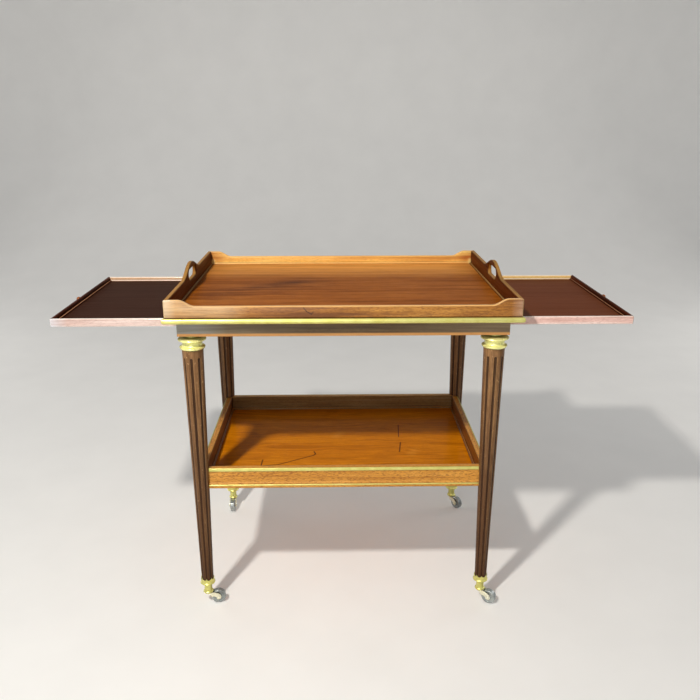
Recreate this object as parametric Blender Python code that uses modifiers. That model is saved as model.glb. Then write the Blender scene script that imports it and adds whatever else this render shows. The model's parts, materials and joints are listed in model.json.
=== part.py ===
"""Bar cart with a lift-off gallery tray, two pull-out leaves, a lower shelf and four casters.

Metres, +Z up. The origin is on the floor, in the middle of the four leg axes.
+X runs along the cart, +Y runs to the back. The leaves are shown pulled out.
"""

import math

import bmesh
import bpy
from mathutils import Matrix, Vector

# Fits
GAP = 0.0003  # between pieces that are glued, pinned or screwed together
RUN = 0.0003  # above, below and around pieces that slide or turn
LEAF_SIDE_CLEARANCE = 0.0004
MERGE = 0.00001

# Stance
LEG_SPACING_X = 0.610
LEG_SPACING_Y = 0.433

# Casters
WHEEL_RADIUS = 0.016
WHEEL_WIDTH = 0.012
WHEEL_EDGE_ROUND = 0.0022
WHEEL_DISH = 0.0014  # depth of the hollow in each face of the wheel
WHEEL_HUB_RADIUS = 0.0052
WHEEL_RIM_WIDTH = 0.0042
WHEEL_SIDE_GAP = 0.0008
WHEEL_CLEARANCE = 0.0012  # from the tread to the hub plate
TRAIL = 0.022  # swivel axis to wheel axle
CHEEK_THICKNESS = 0.0022
CHEEK_BACK = 0.0010  # swivel axis to the cheek's back edge
CHEEK_CROWN = 0.0050  # swivel axis to where the upper edge starts to curve
CHEEK_HEEL = 0.0060  # swivel axis to the lower end of the back edge
CHEEK_DROP = 0.0070  # hub plate's underside down to the heel
CHEEK_BOSS_RADIUS = 0.0055  # round the axle
HUB_RADIUS = 0.0085
HUB_THICKNESS = 0.0026
AXLE_RADIUS = 0.0020
AXLE_HEAD_RADIUS = 0.0032
AXLE_HEAD_HEIGHT = 0.0009
PINTLE_RADIUS = 0.0026
PINTLE_HEAD_RADIUS = 0.0042
PINTLE_HEAD_HEIGHT = 0.0025
TRAIL_ANGLES = {"front_left": 10, "front_right": -30, "back_right": -55, "back_left": -88}

# Brass shoes, heights measured from the shoe's base
SABOT_BASE_RADIUS = 0.0112
SABOT_BASE_EDGE = 0.0015
SABOT_FLARE_HEIGHT = 0.0050
SABOT_STEM_RADIUS = 0.0086
SABOT_STEM_HEIGHT = 0.0195
SABOT_RING_RADIUS = 0.0160
SABOT_RING_HEIGHT = 0.0258
SABOT_RING_HALF = 0.0024
SABOT_SEAT_HEIGHT = 0.0245  # where the leg's foot rests
SABOT_CUP_HEIGHT = 0.0405
SABOT_CUP_WALL = 0.0020
SCALLOP_LAND = 0.0008  # left between two scallops of the cup's edge
SCALLOP_DEPTH = 0.0048

# Legs
LEG_LENGTH = 0.5452  # foot to shoulder
LEG_TOP_RADIUS = 0.0216
LEG_FOOT_RADIUS = 0.0128
LEG_NECK_RADIUS = 0.0095
DOWEL_RADIUS = 0.006
DOWEL_LENGTH = 0.020
FLUTES = 8
FLUTE_TOP_MARGIN = 0.0155  # plain band between the shoulder and the flutes
FLUTE_TOP_RADIUS = 0.0039
FLUTE_FOOT_RADIUS = 0.0029
FLUTE_OFFSET = 0.0010  # flute centre line outside the leg's surface

# Brass capitals, heights measured from the capital's base
CAPITAL_HEIGHT = 0.0310
COLLAR_RADIUS = 0.0128
COLLAR_FOOT_HEIGHT = 0.0252  # where the upper disc starts
DISC_RADIUS = 0.0285
DISC_EDGE_HEIGHT = 0.0195
DISC_EDGE = 0.0016
WAIST_RADIUS = 0.0206
WAIST_HEIGHT = 0.0094
WAIST_HALF = 0.0031
RING_RADIUS = 0.0258
RING_EDGE_HEIGHT = 0.0039
RING_EDGE = 0.0012
CAPITAL_FOOT_RADIUS = 0.0219

# Apron
APRON_SETOUT = 0.0243  # leg axis to the apron's outer face
APRON_HEIGHT = 0.0328
RAIL_THICKNESS = 0.045
LEDGE_HEIGHT = 0.0112  # wood under the leaf groove, and height of the end rails
GROOVE_DEPTH = 0.0102
END_RAIL_WIDTH = 0.020
CENTRE_RAIL_WIDTH = 0.045

# Fixed top board and its brass edge
BOARD_OVERHANG_X = 0.0163
BOARD_OVERHANG_Y = 0.0296
BOARD_THICKNESS = 0.0114
MOULDING_PROJECTION = 0.0047

# Tray, heights measured from the tray's underside
TRAY_WALL = 0.011
TRAY_FLOOR_THICKNESS = 0.004
TRAY_LOW_HEIGHT = 0.0230
TRAY_CORNER_HEIGHT = 0.0355
TRAY_CORNER_LENGTH = 0.027
OGEE_LENGTH = 0.0325
TRAY_EDGE_ROUND = 0.0022
HANDLE_RISE = 0.024
HANDLE_LENGTH = 0.200
HAND_HOLE_LENGTH = 0.088
HAND_HOLE_HEIGHT = 0.023

# Pull-out leaves
LEAF_LENGTH = 0.321
LEAF_HOLD = 0.0613  # length left inside the apron when a leaf is out
LEAF_HEIGHT = 0.0163
LIP_WIDTH = 0.010
LIP_TOP_WIDTH = 0.0060
LIP_ROUND = 0.0015
PANEL_DROP = 0.0098  # lip top down to the panel
BEAD_DROP = 0.0070  # lip top down to the bead along the panel
PANEL_THICKNESS = 0.0055
PANEL_TONGUE = 0.004
PANEL_TONGUE_THICKNESS = 0.003
STOP_WIDTH = 0.020
STOP_LENGTH = 0.120
STOP_HEIGHT = 0.0092
PULL_RADIUS = 0.0050
PULL_NECK_RADIUS = 0.0026
PULL_BASE_RADIUS = 0.0042
PULL_BASE_THICKNESS = 0.0013
PULL_NECK_START = 0.0026  # from the knob's base
PULL_LENGTH = 0.013

# Lower shelf, heights measured from the walls' underside
SHELF_HEIGHT = 0.2857
SHELF_WALL = 0.012
SHELF_WALL_HEIGHT = 0.047
SHELF_BASE_HEIGHT = 0.0130
SHELF_BASE_PROUD = 0.0015
SHELF_EDGE_ROUND = 0.0020
SHELF_FLOOR_TOP = 0.012
SHELF_FLOOR_THICKNESS = 0.009
SHELF_TONGUE = 0.005
SHELF_TONGUE_THICKNESS = 0.004
STRIP_HEIGHT = 0.0070
STRIP_THICKNESS = 0.0022

# Fineness of round shapes
TURNED_STEPS = 20
LEG_STEPS = 24
FLUTE_STEPS = 10
HOLE_STEPS = 10
ARC_STEPS = 3
EDGE_STEPS = 2  # small rounded edges
SHARP_ANGLE = 35  # degrees between faces that keep a crisp edge

# Places that follow from the sizes above
LEG_X = LEG_SPACING_X / 2
LEG_Y = LEG_SPACING_Y / 2
WHEEL_REACH = WHEEL_RADIUS + WHEEL_CLEARANCE
HUB_RISE_SQUARED = WHEEL_REACH**2 - (TRAIL - HUB_RADIUS) ** 2
HUB_BOTTOM_Z = WHEEL_RADIUS + math.sqrt(max(HUB_RISE_SQUARED, CHEEK_BOSS_RADIUS**2))
SABOT_Z = HUB_BOTTOM_Z + HUB_THICKNESS + RUN
FOOT_Z = SABOT_Z + SABOT_SEAT_HEIGHT + GAP
SHOULDER_Z = FOOT_Z + LEG_LENGTH
CAPITAL_Z = SHOULDER_Z + GAP
APRON_Z = CAPITAL_Z + CAPITAL_HEIGHT + GAP
APRON_TOP_Z = APRON_Z + APRON_HEIGHT
APRON_X = LEG_X + APRON_SETOUT
APRON_Y = LEG_Y + APRON_SETOUT
RAIL_INNER_Y = APRON_Y - RAIL_THICKNESS
LEAF_Y = RAIL_INNER_Y + GROOVE_DEPTH - LEAF_SIDE_CLEARANCE
LEAF_Z = APRON_Z + LEDGE_HEIGHT + RUN
LEAF_INNER_X = APRON_X - LEAF_HOLD
BOARD_Z = APRON_TOP_Z + GAP
BOARD_X = APRON_X + BOARD_OVERHANG_X
BOARD_Y = APRON_Y + BOARD_OVERHANG_Y
TRAY_Z = BOARD_Z + BOARD_THICKNESS + GAP

# Each corner's side of the cart, and the turn that points a leg's housings at the shelf
CORNERS = {
    "front_left": (-1, -1, 0),
    "front_right": (1, -1, 90),
    "back_right": (1, 1, 180),
    "back_left": (-1, 1, 270),
}
# Each side's turn from the front, whose outward direction is -Y
SIDES = {"front": 0, "right": 90, "back": 180, "left": 270}


def clear_scene():
    for obj in list(bpy.data.objects):
        bpy.data.objects.remove(obj, do_unlink=True)


def new_collection(name):
    collection = bpy.data.collections.new(name)
    bpy.context.scene.collection.children.link(collection)
    return collection


def finish(name, colour, roughness, metallic=0.0):
    material = bpy.data.materials.new(name)
    material.use_nodes = True
    shader = material.node_tree.nodes["Principled BSDF"]
    shader.inputs["Base Color"].default_value = (*colour, 1.0)
    shader.inputs["Roughness"].default_value = roughness
    shader.inputs["Metallic"].default_value = metallic
    material.diffuse_color = (*colour, 1.0)
    return material


def add_part(name, mesh, material, location=(0, 0, 0), turn=0, parent=None):
    """One named piece; repeated pieces share their mesh."""
    if not mesh.materials:
        mesh.materials.append(material)
        mesh.shade_smooth()
        mesh.set_sharp_from_angle(angle=math.radians(SHARP_ANGLE))
    obj = bpy.data.objects.new(name, mesh)
    obj.location = location
    obj.rotation_euler.z = math.radians(turn)
    obj.parent = parent
    PARTS.objects.link(obj)
    return obj


def add_pivot(name, location, turn=0, parent=None):
    """An empty on the axis or slide that its pieces move with."""
    pivot = bpy.data.objects.new(name, None)
    pivot.location = location
    pivot.rotation_euler.z = math.radians(turn)
    pivot.parent = parent
    PARTS.objects.link(pivot)
    return pivot


def guide(name, data):
    """A helper that only shapes other pieces."""
    obj = bpy.data.objects.new(name, data)
    obj.hide_render = True
    obj.display_type = "WIRE"
    CUTTERS.objects.link(obj)
    return obj


def baked(obj):
    """The helper's finished mesh, welded; the helper itself is removed."""
    bpy.context.view_layer.update()
    graph = bpy.context.evaluated_depsgraph_get()
    mesh = bpy.data.meshes.new_from_object(obj.evaluated_get(graph))
    mesh.name = obj.name
    shape = bmesh.new()
    shape.from_mesh(mesh)
    bmesh.ops.remove_doubles(shape, verts=shape.verts, dist=MERGE)
    shape.to_mesh(mesh)
    shape.free()
    bpy.data.objects.remove(obj, do_unlink=True)
    return mesh


def box(name, low, high):
    size = Vector(high) - Vector(low)
    middle = (Vector(high) + Vector(low)) / 2
    shape = bmesh.new()
    bmesh.ops.create_cube(shape, size=1.0, matrix=Matrix.LocRotScale(middle, None, size))
    mesh = bpy.data.meshes.new(name)
    shape.to_mesh(mesh)
    shape.free()
    return mesh


def turned(name, profile, steps, closed=False):
    """A profile of (radius, height) points, outer side from top to bottom, turned about Z."""
    edges = [(i, i + 1) for i in range(len(profile) - 1)]
    if closed:
        edges.append((len(profile) - 1, 0))
    mesh = bpy.data.meshes.new(name)
    mesh.from_pydata([(radius, 0, height) for radius, height in profile], edges, [])
    obj = guide(name, mesh)
    screw = obj.modifiers.new("Turn", "SCREW")
    screw.axis = "Z"
    screw.steps = steps
    screw.render_steps = steps
    screw.use_merge_vertices = True
    screw.merge_threshold = MERGE
    return baked(obj)


def extruded(name, outlines, depth, edge_round=0.0):
    """Flat outlines, the first one solid and the rest holes, thickened to depth about Z = 0."""
    curve = bpy.data.curves.new(name, "CURVE")
    curve.dimensions = "2D"
    curve.fill_mode = "BOTH"
    curve.extrude = depth / 2 - edge_round
    curve.bevel_depth = edge_round
    curve.bevel_resolution = 1
    curve.offset = -edge_round
    for outline in outlines:
        spline = curve.splines.new("POLY")
        spline.points.add(len(outline) - 1)
        for point, (u, v) in zip(spline.points, outline):
            point.co = (u, v, 0, 1)
        spline.use_cyclic_u = True
    return baked(guide(name, curve))


def moved(mesh, matrix):
    mesh.transform(matrix)
    return mesh


def upright(mesh):
    """Stands a flat outline up: its first axis stays X, its second becomes Z."""
    return moved(mesh, Matrix.Rotation(math.radians(90), 4, "X"))


def along_x(mesh):
    """Lays a section's depth along X: its first axis becomes Y, its second Z."""
    return moved(mesh, Matrix(((0, 0, 1, 0), (1, 0, 0, 0), (0, 1, 0, 0), (0, 0, 0, 1))))


def combined(name, mesh, others, operation="DIFFERENCE"):
    """The mesh with other meshes cut from it or joined to it."""
    obj = guide(name, mesh)
    tools = [guide(f"{name}_tool", other) for other in others]
    for tool in tools:
        step = obj.modifiers.new(operation.title(), "BOOLEAN")
        step.operation = operation
        step.solver = "EXACT"
        step.object = tool
    result = baked(obj)
    for tool in tools:
        bpy.data.objects.remove(tool, do_unlink=True)
    return result


def mitred(mesh, half_length, ends=(-1, 1)):
    """Ends cut at 45 degrees, from full length at Y = 0 to shorter behind it."""
    shape = bmesh.new()
    shape.from_mesh(mesh)
    for end in ends:
        geometry = shape.verts[:] + shape.edges[:] + shape.faces[:]
        corner = (end * (half_length - GAP), 0, 0)
        bmesh.ops.bisect_plane(
            shape, geom=geometry, dist=MERGE / 10, plane_co=corner, plane_no=(end, 1, 0), clear_outer=True
        )
        bmesh.ops.holes_fill(shape, edges=[edge for edge in shape.edges if edge.is_boundary], sides=0)
    bmesh.ops.recalc_face_normals(shape, faces=shape.faces)
    shape.to_mesh(mesh)
    shape.free()
    return mesh


def mirrored(mesh):
    """A copy of the mesh with its left and right hand swapped across Y = 0."""
    copy = mesh.copy()
    copy.transform(Matrix.Scale(-1, 4, (0, 1, 0)))
    copy.flip_normals()
    return copy


def arc(centre_u, centre_v, radius_u, radius_v, start, end, steps=ARC_STEPS):
    """Points of an elliptic arc between two angles in degrees, both ends included."""
    angles = [math.radians(start + (end - start) * i / steps) for i in range(steps + 1)]
    return [(centre_u + radius_u * math.cos(a), centre_v + radius_v * math.sin(a)) for a in angles]


def rod_profile(radius, top, low):
    """Profile of a plain round rod."""
    return [(0, top), (radius, top), (radius, low), (0, low)]


def drill(name, radius, top, low):
    """A rod for cutting a hole, wide enough that its flats clear the radius."""
    return turned(name, rod_profile(radius / math.cos(math.pi / HOLE_STEPS), top, low), HOLE_STEPS)


def leg_radius(z):
    share = (z - FOOT_Z) / LEG_LENGTH
    return LEG_FOOT_RADIUS + (LEG_TOP_RADIUS - LEG_FOOT_RADIUS) * share


def leg_cone(name, low_z, high_z, clearance):
    """The leg's plain taper between two heights, made larger by a clearance."""
    top = leg_radius(high_z) + clearance
    foot = leg_radius(low_z) + clearance
    return turned(name, [(0, high_z), (top, high_z), (foot, low_z), (0, low_z)], LEG_STEPS)


def flute_cutters():
    """Tapered rods with domed tops, one for each flute, laid along the leg's surface."""
    top_z = SHOULDER_Z - FLUTE_TOP_MARGIN - FLUTE_TOP_RADIUS
    low_z = FOOT_Z - FLUTE_FOOT_RADIUS
    rod = arc(0, top_z - low_z, FLUTE_TOP_RADIUS, FLUTE_TOP_RADIUS, 90, 0)
    rod[0] = (0, top_z - low_z + FLUTE_TOP_RADIUS)
    rod += [(FLUTE_FOOT_RADIUS, 0), (0, 0)]
    cutter = turned("flute", rod, FLUTE_STEPS)
    lean = math.atan2(leg_radius(top_z) - leg_radius(low_z), top_z - low_z)
    start = Matrix.Translation((leg_radius(low_z) + FLUTE_OFFSET, 0, low_z))
    shape = bmesh.new()
    for i in range(FLUTES):
        turn = Matrix.Rotation(2 * math.pi * i / FLUTES, 4, "Z")
        copy = cutter.copy()
        copy.transform(turn @ start @ Matrix.Rotation(lean, 4, "Y"))
        shape.from_mesh(copy)
        bpy.data.meshes.remove(copy)
    shape.to_mesh(cutter)
    shape.free()
    return cutter


def housings():
    """The ends of the two shelf walls, with clearance, that enter a leg whose axis is at the origin."""
    low_z = SHELF_HEIGHT - GAP
    high_z = SHELF_HEIGHT + SHELF_WALL_HEIGHT + GAP
    outer = -SHELF_BASE_PROUD - GAP
    inner = SHELF_WALL + GAP
    reach = 2 * LEG_TOP_RADIUS
    along_wall = box("housing_x", (SHELF_WALL, outer, low_z), (reach, inner, high_z))
    across_wall = box("housing_y", (outer, SHELF_WALL, low_z), (inner, reach, high_z))
    return [along_wall, across_wall]


def leg_mesh():
    """Turned leg with a neck for the capital and a dowel for the apron, fluted and housed for the shelf."""
    neck_top = APRON_Z - GAP
    dowel_top = neck_top + DOWEL_LENGTH
    profile = [
        (0, dowel_top),
        (DOWEL_RADIUS, dowel_top),
        (DOWEL_RADIUS, neck_top),
        (LEG_NECK_RADIUS, neck_top),
        (LEG_NECK_RADIUS, SHOULDER_Z),
        (LEG_TOP_RADIUS, SHOULDER_Z),
        (LEG_FOOT_RADIUS, FOOT_Z),
        (0, FOOT_Z),
    ]
    leg = turned("leg", profile, LEG_STEPS)
    return combined("leg", leg, [flute_cutters()] + housings())


def capital_mesh():
    """Turned brass capital round the leg's neck: collar, broad sloping disc, waist and smaller ring."""
    bore = LEG_NECK_RADIUS + GAP
    disc_low = DISC_EDGE_HEIGHT - DISC_EDGE
    waist_top = WAIST_HEIGHT + WAIST_HALF
    ring_low = RING_EDGE_HEIGHT - RING_EDGE
    profile = [
        (COLLAR_RADIUS, CAPITAL_HEIGHT),
        (COLLAR_RADIUS, COLLAR_FOOT_HEIGHT),
        (DISC_RADIUS, DISC_EDGE_HEIGHT),
    ]
    overhang = DISC_RADIUS - WAIST_RADIUS
    profile += arc(DISC_RADIUS, waist_top, overhang, disc_low - waist_top, 90, 180, EDGE_STEPS)
    profile += [(WAIST_RADIUS, WAIST_HEIGHT - WAIST_HALF), (RING_RADIUS, RING_EDGE_HEIGHT)]
    overhang = RING_RADIUS - CAPITAL_FOOT_RADIUS
    profile += arc(CAPITAL_FOOT_RADIUS, ring_low, overhang, ring_low, 0, -90, EDGE_STEPS)
    profile += [(bore, 0), (bore, CAPITAL_HEIGHT)]
    return turned("capital", profile, TURNED_STEPS, closed=True)


def sabot_mesh():
    """Turned brass shoe: scalloped cup for the leg, ring, stem, flared base and the riveted swivel pin."""
    cup_inner_top = leg_radius(SABOT_Z + SABOT_CUP_HEIGHT) + GAP
    cup_inner_foot = LEG_FOOT_RADIUS + GAP
    cup_outer_top = cup_inner_top + SABOT_CUP_WALL
    cup_outer_foot = cup_inner_foot + SABOT_CUP_WALL
    ring = SABOT_RING_RADIUS - cup_outer_foot
    pin_end = -(RUN + HUB_THICKNESS + RUN)
    profile = [
        (0, SABOT_SEAT_HEIGHT),
        (cup_inner_foot, SABOT_SEAT_HEIGHT),
        (cup_inner_top, SABOT_CUP_HEIGHT),
        (cup_outer_top, SABOT_CUP_HEIGHT),
    ]
    profile += arc(cup_outer_foot, SABOT_RING_HEIGHT, ring, SABOT_RING_HALF, 80, -60)
    profile += [
        (SABOT_STEM_RADIUS, SABOT_STEM_HEIGHT),
        (SABOT_STEM_RADIUS, SABOT_FLARE_HEIGHT),
        (SABOT_BASE_RADIUS, 2 * SABOT_BASE_EDGE),
        (SABOT_BASE_RADIUS, 0),
        (PINTLE_RADIUS, 0),
        (PINTLE_RADIUS, pin_end),
        (PINTLE_HEAD_RADIUS, pin_end),
        (PINTLE_RADIUS, pin_end - PINTLE_HEAD_HEIGHT),
        (0, pin_end - PINTLE_HEAD_HEIGHT),
    ]
    sabot = turned("sabot", profile, TURNED_STEPS)
    half_span = cup_inner_top * math.sin(math.pi / FLUTES) - SCALLOP_LAND / 2
    scallop = (half_span**2 + SCALLOP_DEPTH**2) / (2 * SCALLOP_DEPTH)
    height = SABOT_CUP_HEIGHT + scallop - SCALLOP_DEPTH
    scallops = []
    for i in range(FLUTES):
        angle = 2 * math.pi * (i + 0.5) / FLUTES
        rod = turned("scallop", rod_profile(scallop, 2 * SABOT_RING_RADIUS, LEG_FOOT_RADIUS / 2), HOLE_STEPS)
        lay = Matrix.Rotation(angle, 4, "Z") @ Matrix.Rotation(math.radians(90), 4, "Y")
        scallops.append(moved(rod, Matrix.Translation((0, 0, height)) @ lay))
    return combined("sabot", sabot, scallops)


def fork_mesh():
    """Hub plate with two cheeks that curve over the wheel to the axle; X runs along the trail."""
    top = HUB_BOTTOM_Z + HUB_THICKNESS
    hub = turned("hub", rod_profile(HUB_RADIUS, top, HUB_BOTTOM_Z), TURNED_STEPS)
    boss = CHEEK_BOSS_RADIUS
    rise = top - WHEEL_RADIUS
    heel_rise = HUB_BOTTOM_Z - CHEEK_DROP - WHEEL_RADIUS
    outline = [(CHEEK_BACK, top)]
    outline += arc(CHEEK_CROWN, WHEEL_RADIUS, TRAIL + boss - CHEEK_CROWN, rise, 90, 0, ARC_STEPS + 1)
    outline += arc(TRAIL, WHEEL_RADIUS, boss, boss, 0, -180, ARC_STEPS + 1)[1:-1]
    outline += arc(CHEEK_HEEL, WHEEL_RADIUS, TRAIL - boss - CHEEK_HEEL, heel_rise, 0, 90, EDGE_STEPS)
    outline += [(CHEEK_BACK, HUB_BOTTOM_Z)]
    cheek_y = WHEEL_WIDTH / 2 + WHEEL_SIDE_GAP + CHEEK_THICKNESS / 2
    cheeks = []
    for side in (-1, 1):
        cheek = upright(extruded("cheek", [outline], CHEEK_THICKNESS))
        cheeks.append(moved(cheek, Matrix.Translation((0, side * cheek_y, 0))))
    fork = combined("fork", hub, cheeks, "UNION")
    pin_hole = drill("pin_hole", PINTLE_RADIUS + RUN, 2 * top, 0)
    reach = WHEEL_WIDTH + CHEEK_THICKNESS
    axle_hole = drill("axle_hole", AXLE_RADIUS + GAP, reach, -reach)
    axle_hole = moved(axle_hole, Matrix.Rotation(math.radians(90), 4, "X"))
    axle_hole = moved(axle_hole, Matrix.Translation((TRAIL, 0, WHEEL_RADIUS)))
    return combined("fork", fork, [pin_hole, axle_hole])


def axle_mesh():
    """Pin through both cheeks with a riveted head at each end, laid along Y."""
    cheek_outer = WHEEL_WIDTH / 2 + WHEEL_SIDE_GAP + CHEEK_THICKNESS + GAP
    end = cheek_outer + AXLE_HEAD_HEIGHT
    profile = [
        (0, end),
        (AXLE_RADIUS, end),
        (AXLE_HEAD_RADIUS, cheek_outer),
        (AXLE_RADIUS, cheek_outer),
        (AXLE_RADIUS, -cheek_outer),
        (AXLE_HEAD_RADIUS, -cheek_outer),
        (AXLE_RADIUS, -end),
        (0, -end),
    ]
    return moved(turned("axle", profile, HOLE_STEPS), Matrix.Rotation(math.radians(90), 4, "X"))


def wheel_mesh():
    """Wheel with a rounded tread and dished faces, bored for the axle, laid along Y."""
    half = WHEEL_WIDTH / 2
    bore = AXLE_RADIUS + RUN
    rim = WHEEL_RADIUS - WHEEL_RIM_WIDTH
    edge = WHEEL_RADIUS - WHEEL_EDGE_ROUND
    dish = half - WHEEL_DISH
    upper = [(bore, half), (WHEEL_HUB_RADIUS, half), (rim, dish), (rim, half)]
    upper += arc(edge, half - WHEEL_EDGE_ROUND, WHEEL_EDGE_ROUND, WHEEL_EDGE_ROUND, 90, 0, EDGE_STEPS)
    lower = [(radius, -height) for radius, height in reversed(upper)]
    wheel = turned("wheel", upper + lower, TURNED_STEPS, closed=True)
    return moved(wheel, Matrix.Rotation(math.radians(90), 4, "X"))


def long_rail_mesh():
    """Apron rail with the leaf groove along its inner side and a blind hole for each leg's dowel."""
    groove_low = LEDGE_HEIGHT
    groove_high = LEDGE_HEIGHT + LEAF_HEIGHT + 2 * RUN
    inner = RAIL_THICKNESS
    section = [
        (0, 0),
        (inner, 0),
        (inner, groove_low),
        (inner - GROOVE_DEPTH, groove_low),
        (inner - GROOVE_DEPTH, groove_high),
        (inner, groove_high),
        (inner, APRON_HEIGHT),
        (0, APRON_HEIGHT),
    ]
    rail = along_x(extruded("long_rail", [section], 2 * APRON_X))
    depth = DOWEL_LENGTH + GAP
    holes = []
    for side in (-1, 1):
        hole = drill("dowel_hole", DOWEL_RADIUS + GAP, depth, -depth)
        holes.append(moved(hole, Matrix.Translation((side * LEG_X, APRON_SETOUT, 0))))
    return combined("long_rail", rail, holes)


def half_round_mesh(name, half_length, height, projection):
    """Half-round moulding, its flat back at Y = 0 and mitred at both ends."""
    section = arc(0, height / 2, -projection, height / 2, 90, -90, 2 * ARC_STEPS)
    strip = along_x(extruded(name, [section], 2 * (half_length + projection)))
    return mitred(strip, half_length)


def ogee(share):
    """Smooth fall from 1 to 0."""
    return (1 + math.cos(math.pi * share)) / 2


def tray_wall_mesh():
    """Long tray wall, high at the corners and swept down to a low middle, outer face at Y = 0."""
    steps = 2 * ARC_STEPS
    sweep = []
    for i in range(steps + 1):
        x = BOARD_X - TRAY_CORNER_LENGTH - OGEE_LENGTH * i / steps
        z = TRAY_LOW_HEIGHT + (TRAY_CORNER_HEIGHT - TRAY_LOW_HEIGHT) * ogee(i / steps)
        sweep.append((x, z))
    over = BOARD_X + TRAY_WALL
    right = [(over, 0), (over, TRAY_CORNER_HEIGHT)] + sweep
    left = [(-x, z) for x, z in reversed(right)]
    wall = upright(extruded("tray_wall", [right + left], TRAY_WALL, TRAY_EDGE_ROUND))
    wall = moved(wall, Matrix.Translation((0, TRAY_WALL / 2, 0)))
    return mitred(wall, BOARD_X)


def tray_end_mesh():
    """Tray end with a bell-shaped handle and a rounded hand hole, outer face at Y = 0."""
    steps = 6 * ARC_STEPS
    half = HANDLE_LENGTH / 2
    over = BOARD_Y + TRAY_WALL
    outline = [(-over, 0), (over, 0), (over, TRAY_CORNER_HEIGHT)]
    for i in range(steps + 1):
        x = half * (1 - 2 * i / steps)
        outline.append((x, TRAY_CORNER_HEIGHT + HANDLE_RISE * ogee(abs(x) / half)))
    outline.append((-over, TRAY_CORNER_HEIGHT))
    hole_round = HAND_HOLE_HEIGHT / 2
    hole_u = HAND_HOLE_LENGTH / 2 - hole_round
    hole = arc(hole_u, TRAY_CORNER_HEIGHT, hole_round, hole_round, -90, 90, 2 * ARC_STEPS)
    hole += arc(-hole_u, TRAY_CORNER_HEIGHT, hole_round, hole_round, 90, 270, 2 * ARC_STEPS)
    end = upright(extruded("tray_end", [outline, hole], TRAY_WALL, TRAY_EDGE_ROUND))
    end = moved(end, Matrix.Translation((0, TRAY_WALL / 2, 0)))
    return mitred(end, BOARD_Y)


def panel_tongue_heights():
    middle = LEAF_HEIGHT - PANEL_DROP - PANEL_THICKNESS / 2
    return middle - PANEL_TONGUE_THICKNESS / 2, middle + PANEL_TONGUE_THICKNESS / 2


def lip_section():
    """Leaf lip with its outer face at 0: rounded top, a lower bead inside, a groove for the panel."""
    bead_top = LEAF_HEIGHT - BEAD_DROP
    tongue_low, tongue_high = panel_tongue_heights()
    groove = LIP_WIDTH - PANEL_TONGUE - GAP
    section = [(0, 0), (LIP_WIDTH, 0), (LIP_WIDTH, tongue_low - GAP), (groove, tongue_low - GAP)]
    section += [(groove, tongue_high + GAP), (LIP_WIDTH, tongue_high + GAP)]
    section += arc(LIP_WIDTH - LIP_ROUND, bead_top - LIP_ROUND, LIP_ROUND, LIP_ROUND, 0, 90, EDGE_STEPS)
    section += [(LIP_TOP_WIDTH, bead_top), (LIP_TOP_WIDTH, LEAF_HEIGHT)]
    section += arc(LIP_ROUND, LEAF_HEIGHT - LIP_ROUND, LIP_ROUND, LIP_ROUND, 90, 180, EDGE_STEPS)
    return section


def lip_side_mesh():
    """Lip along a leaf's side, outer face at Y = 0, mitred at the outer end and square at X = 0."""
    lip = along_x(extruded("lip_side", [lip_section()], LEAF_LENGTH))
    lip = moved(lip, Matrix.Translation((LEAF_LENGTH / 2, 0, 0)))
    return mitred(lip, LEAF_LENGTH, ends=(1,))


def lip_end_mesh():
    """Lip across a leaf's outer end, outer face at Y = 0, mitred at both ends."""
    lip = along_x(extruded("lip_end", [lip_section()], 2 * LEAF_Y))
    return mitred(lip, LEAF_Y)


def panel_mesh():
    """Leaf panel with a tongue on its two sides and outer end; its inner end is at X = 0."""
    top = LEAF_HEIGHT - PANEL_DROP
    low = top - PANEL_THICKNESS
    length = LEAF_LENGTH - LIP_WIDTH - GAP
    half = LEAF_Y - LIP_WIDTH - GAP
    core = box("panel", (0, -half, low), (length, half, top))
    tongue_low, tongue_high = panel_tongue_heights()
    reach = half + PANEL_TONGUE
    tongue = box("tongue", (MERGE, -reach, tongue_low), (length + PANEL_TONGUE, reach, tongue_high))
    return combined("panel", core, [tongue], "UNION")


def pull_mesh():
    """Small turned knob, its base at the origin and its axis along X."""
    ball_x = PULL_LENGTH - PULL_RADIUS
    profile = arc(0, ball_x, PULL_RADIUS, PULL_RADIUS, 90, -50, 2 * ARC_STEPS)
    profile[0] = (0, PULL_LENGTH)
    profile += [
        (PULL_NECK_RADIUS, PULL_NECK_START),
        (PULL_BASE_RADIUS, PULL_BASE_THICKNESS),
        (PULL_BASE_RADIUS, 0),
        (0, 0),
    ]
    return moved(turned("pull", profile, HOLE_STEPS), Matrix.Rotation(math.radians(90), 4, "Y"))


def shelf_wall_mesh(half_length):
    """Shelf wall with a proud base and a groove for the floor's tongue, outer face at Y = 0."""
    tongue_low, tongue_high = shelf_tongue_heights()
    groove = SHELF_WALL - SHELF_TONGUE - GAP
    base = SHELF_BASE_PROUD
    section = [(-base, 0), (SHELF_WALL, 0), (SHELF_WALL, tongue_low - GAP), (groove, tongue_low - GAP)]
    section += [(groove, tongue_high + GAP), (SHELF_WALL, tongue_high + GAP)]
    corner = (SHELF_WALL - SHELF_EDGE_ROUND, SHELF_WALL_HEIGHT - SHELF_EDGE_ROUND)
    section += arc(*corner, SHELF_EDGE_ROUND, SHELF_EDGE_ROUND, 0, 90)
    section += [(0, SHELF_WALL_HEIGHT), (0, SHELF_BASE_HEIGHT)]
    section += arc(0, SHELF_BASE_HEIGHT - base, base, base, 90, 180)
    return along_x(extruded("shelf_wall", [section], 2 * half_length))


def shelf_tongue_heights():
    middle = SHELF_FLOOR_TOP - SHELF_FLOOR_THICKNESS / 2
    return middle - SHELF_TONGUE_THICKNESS / 2, middle + SHELF_TONGUE_THICKNESS / 2


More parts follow.
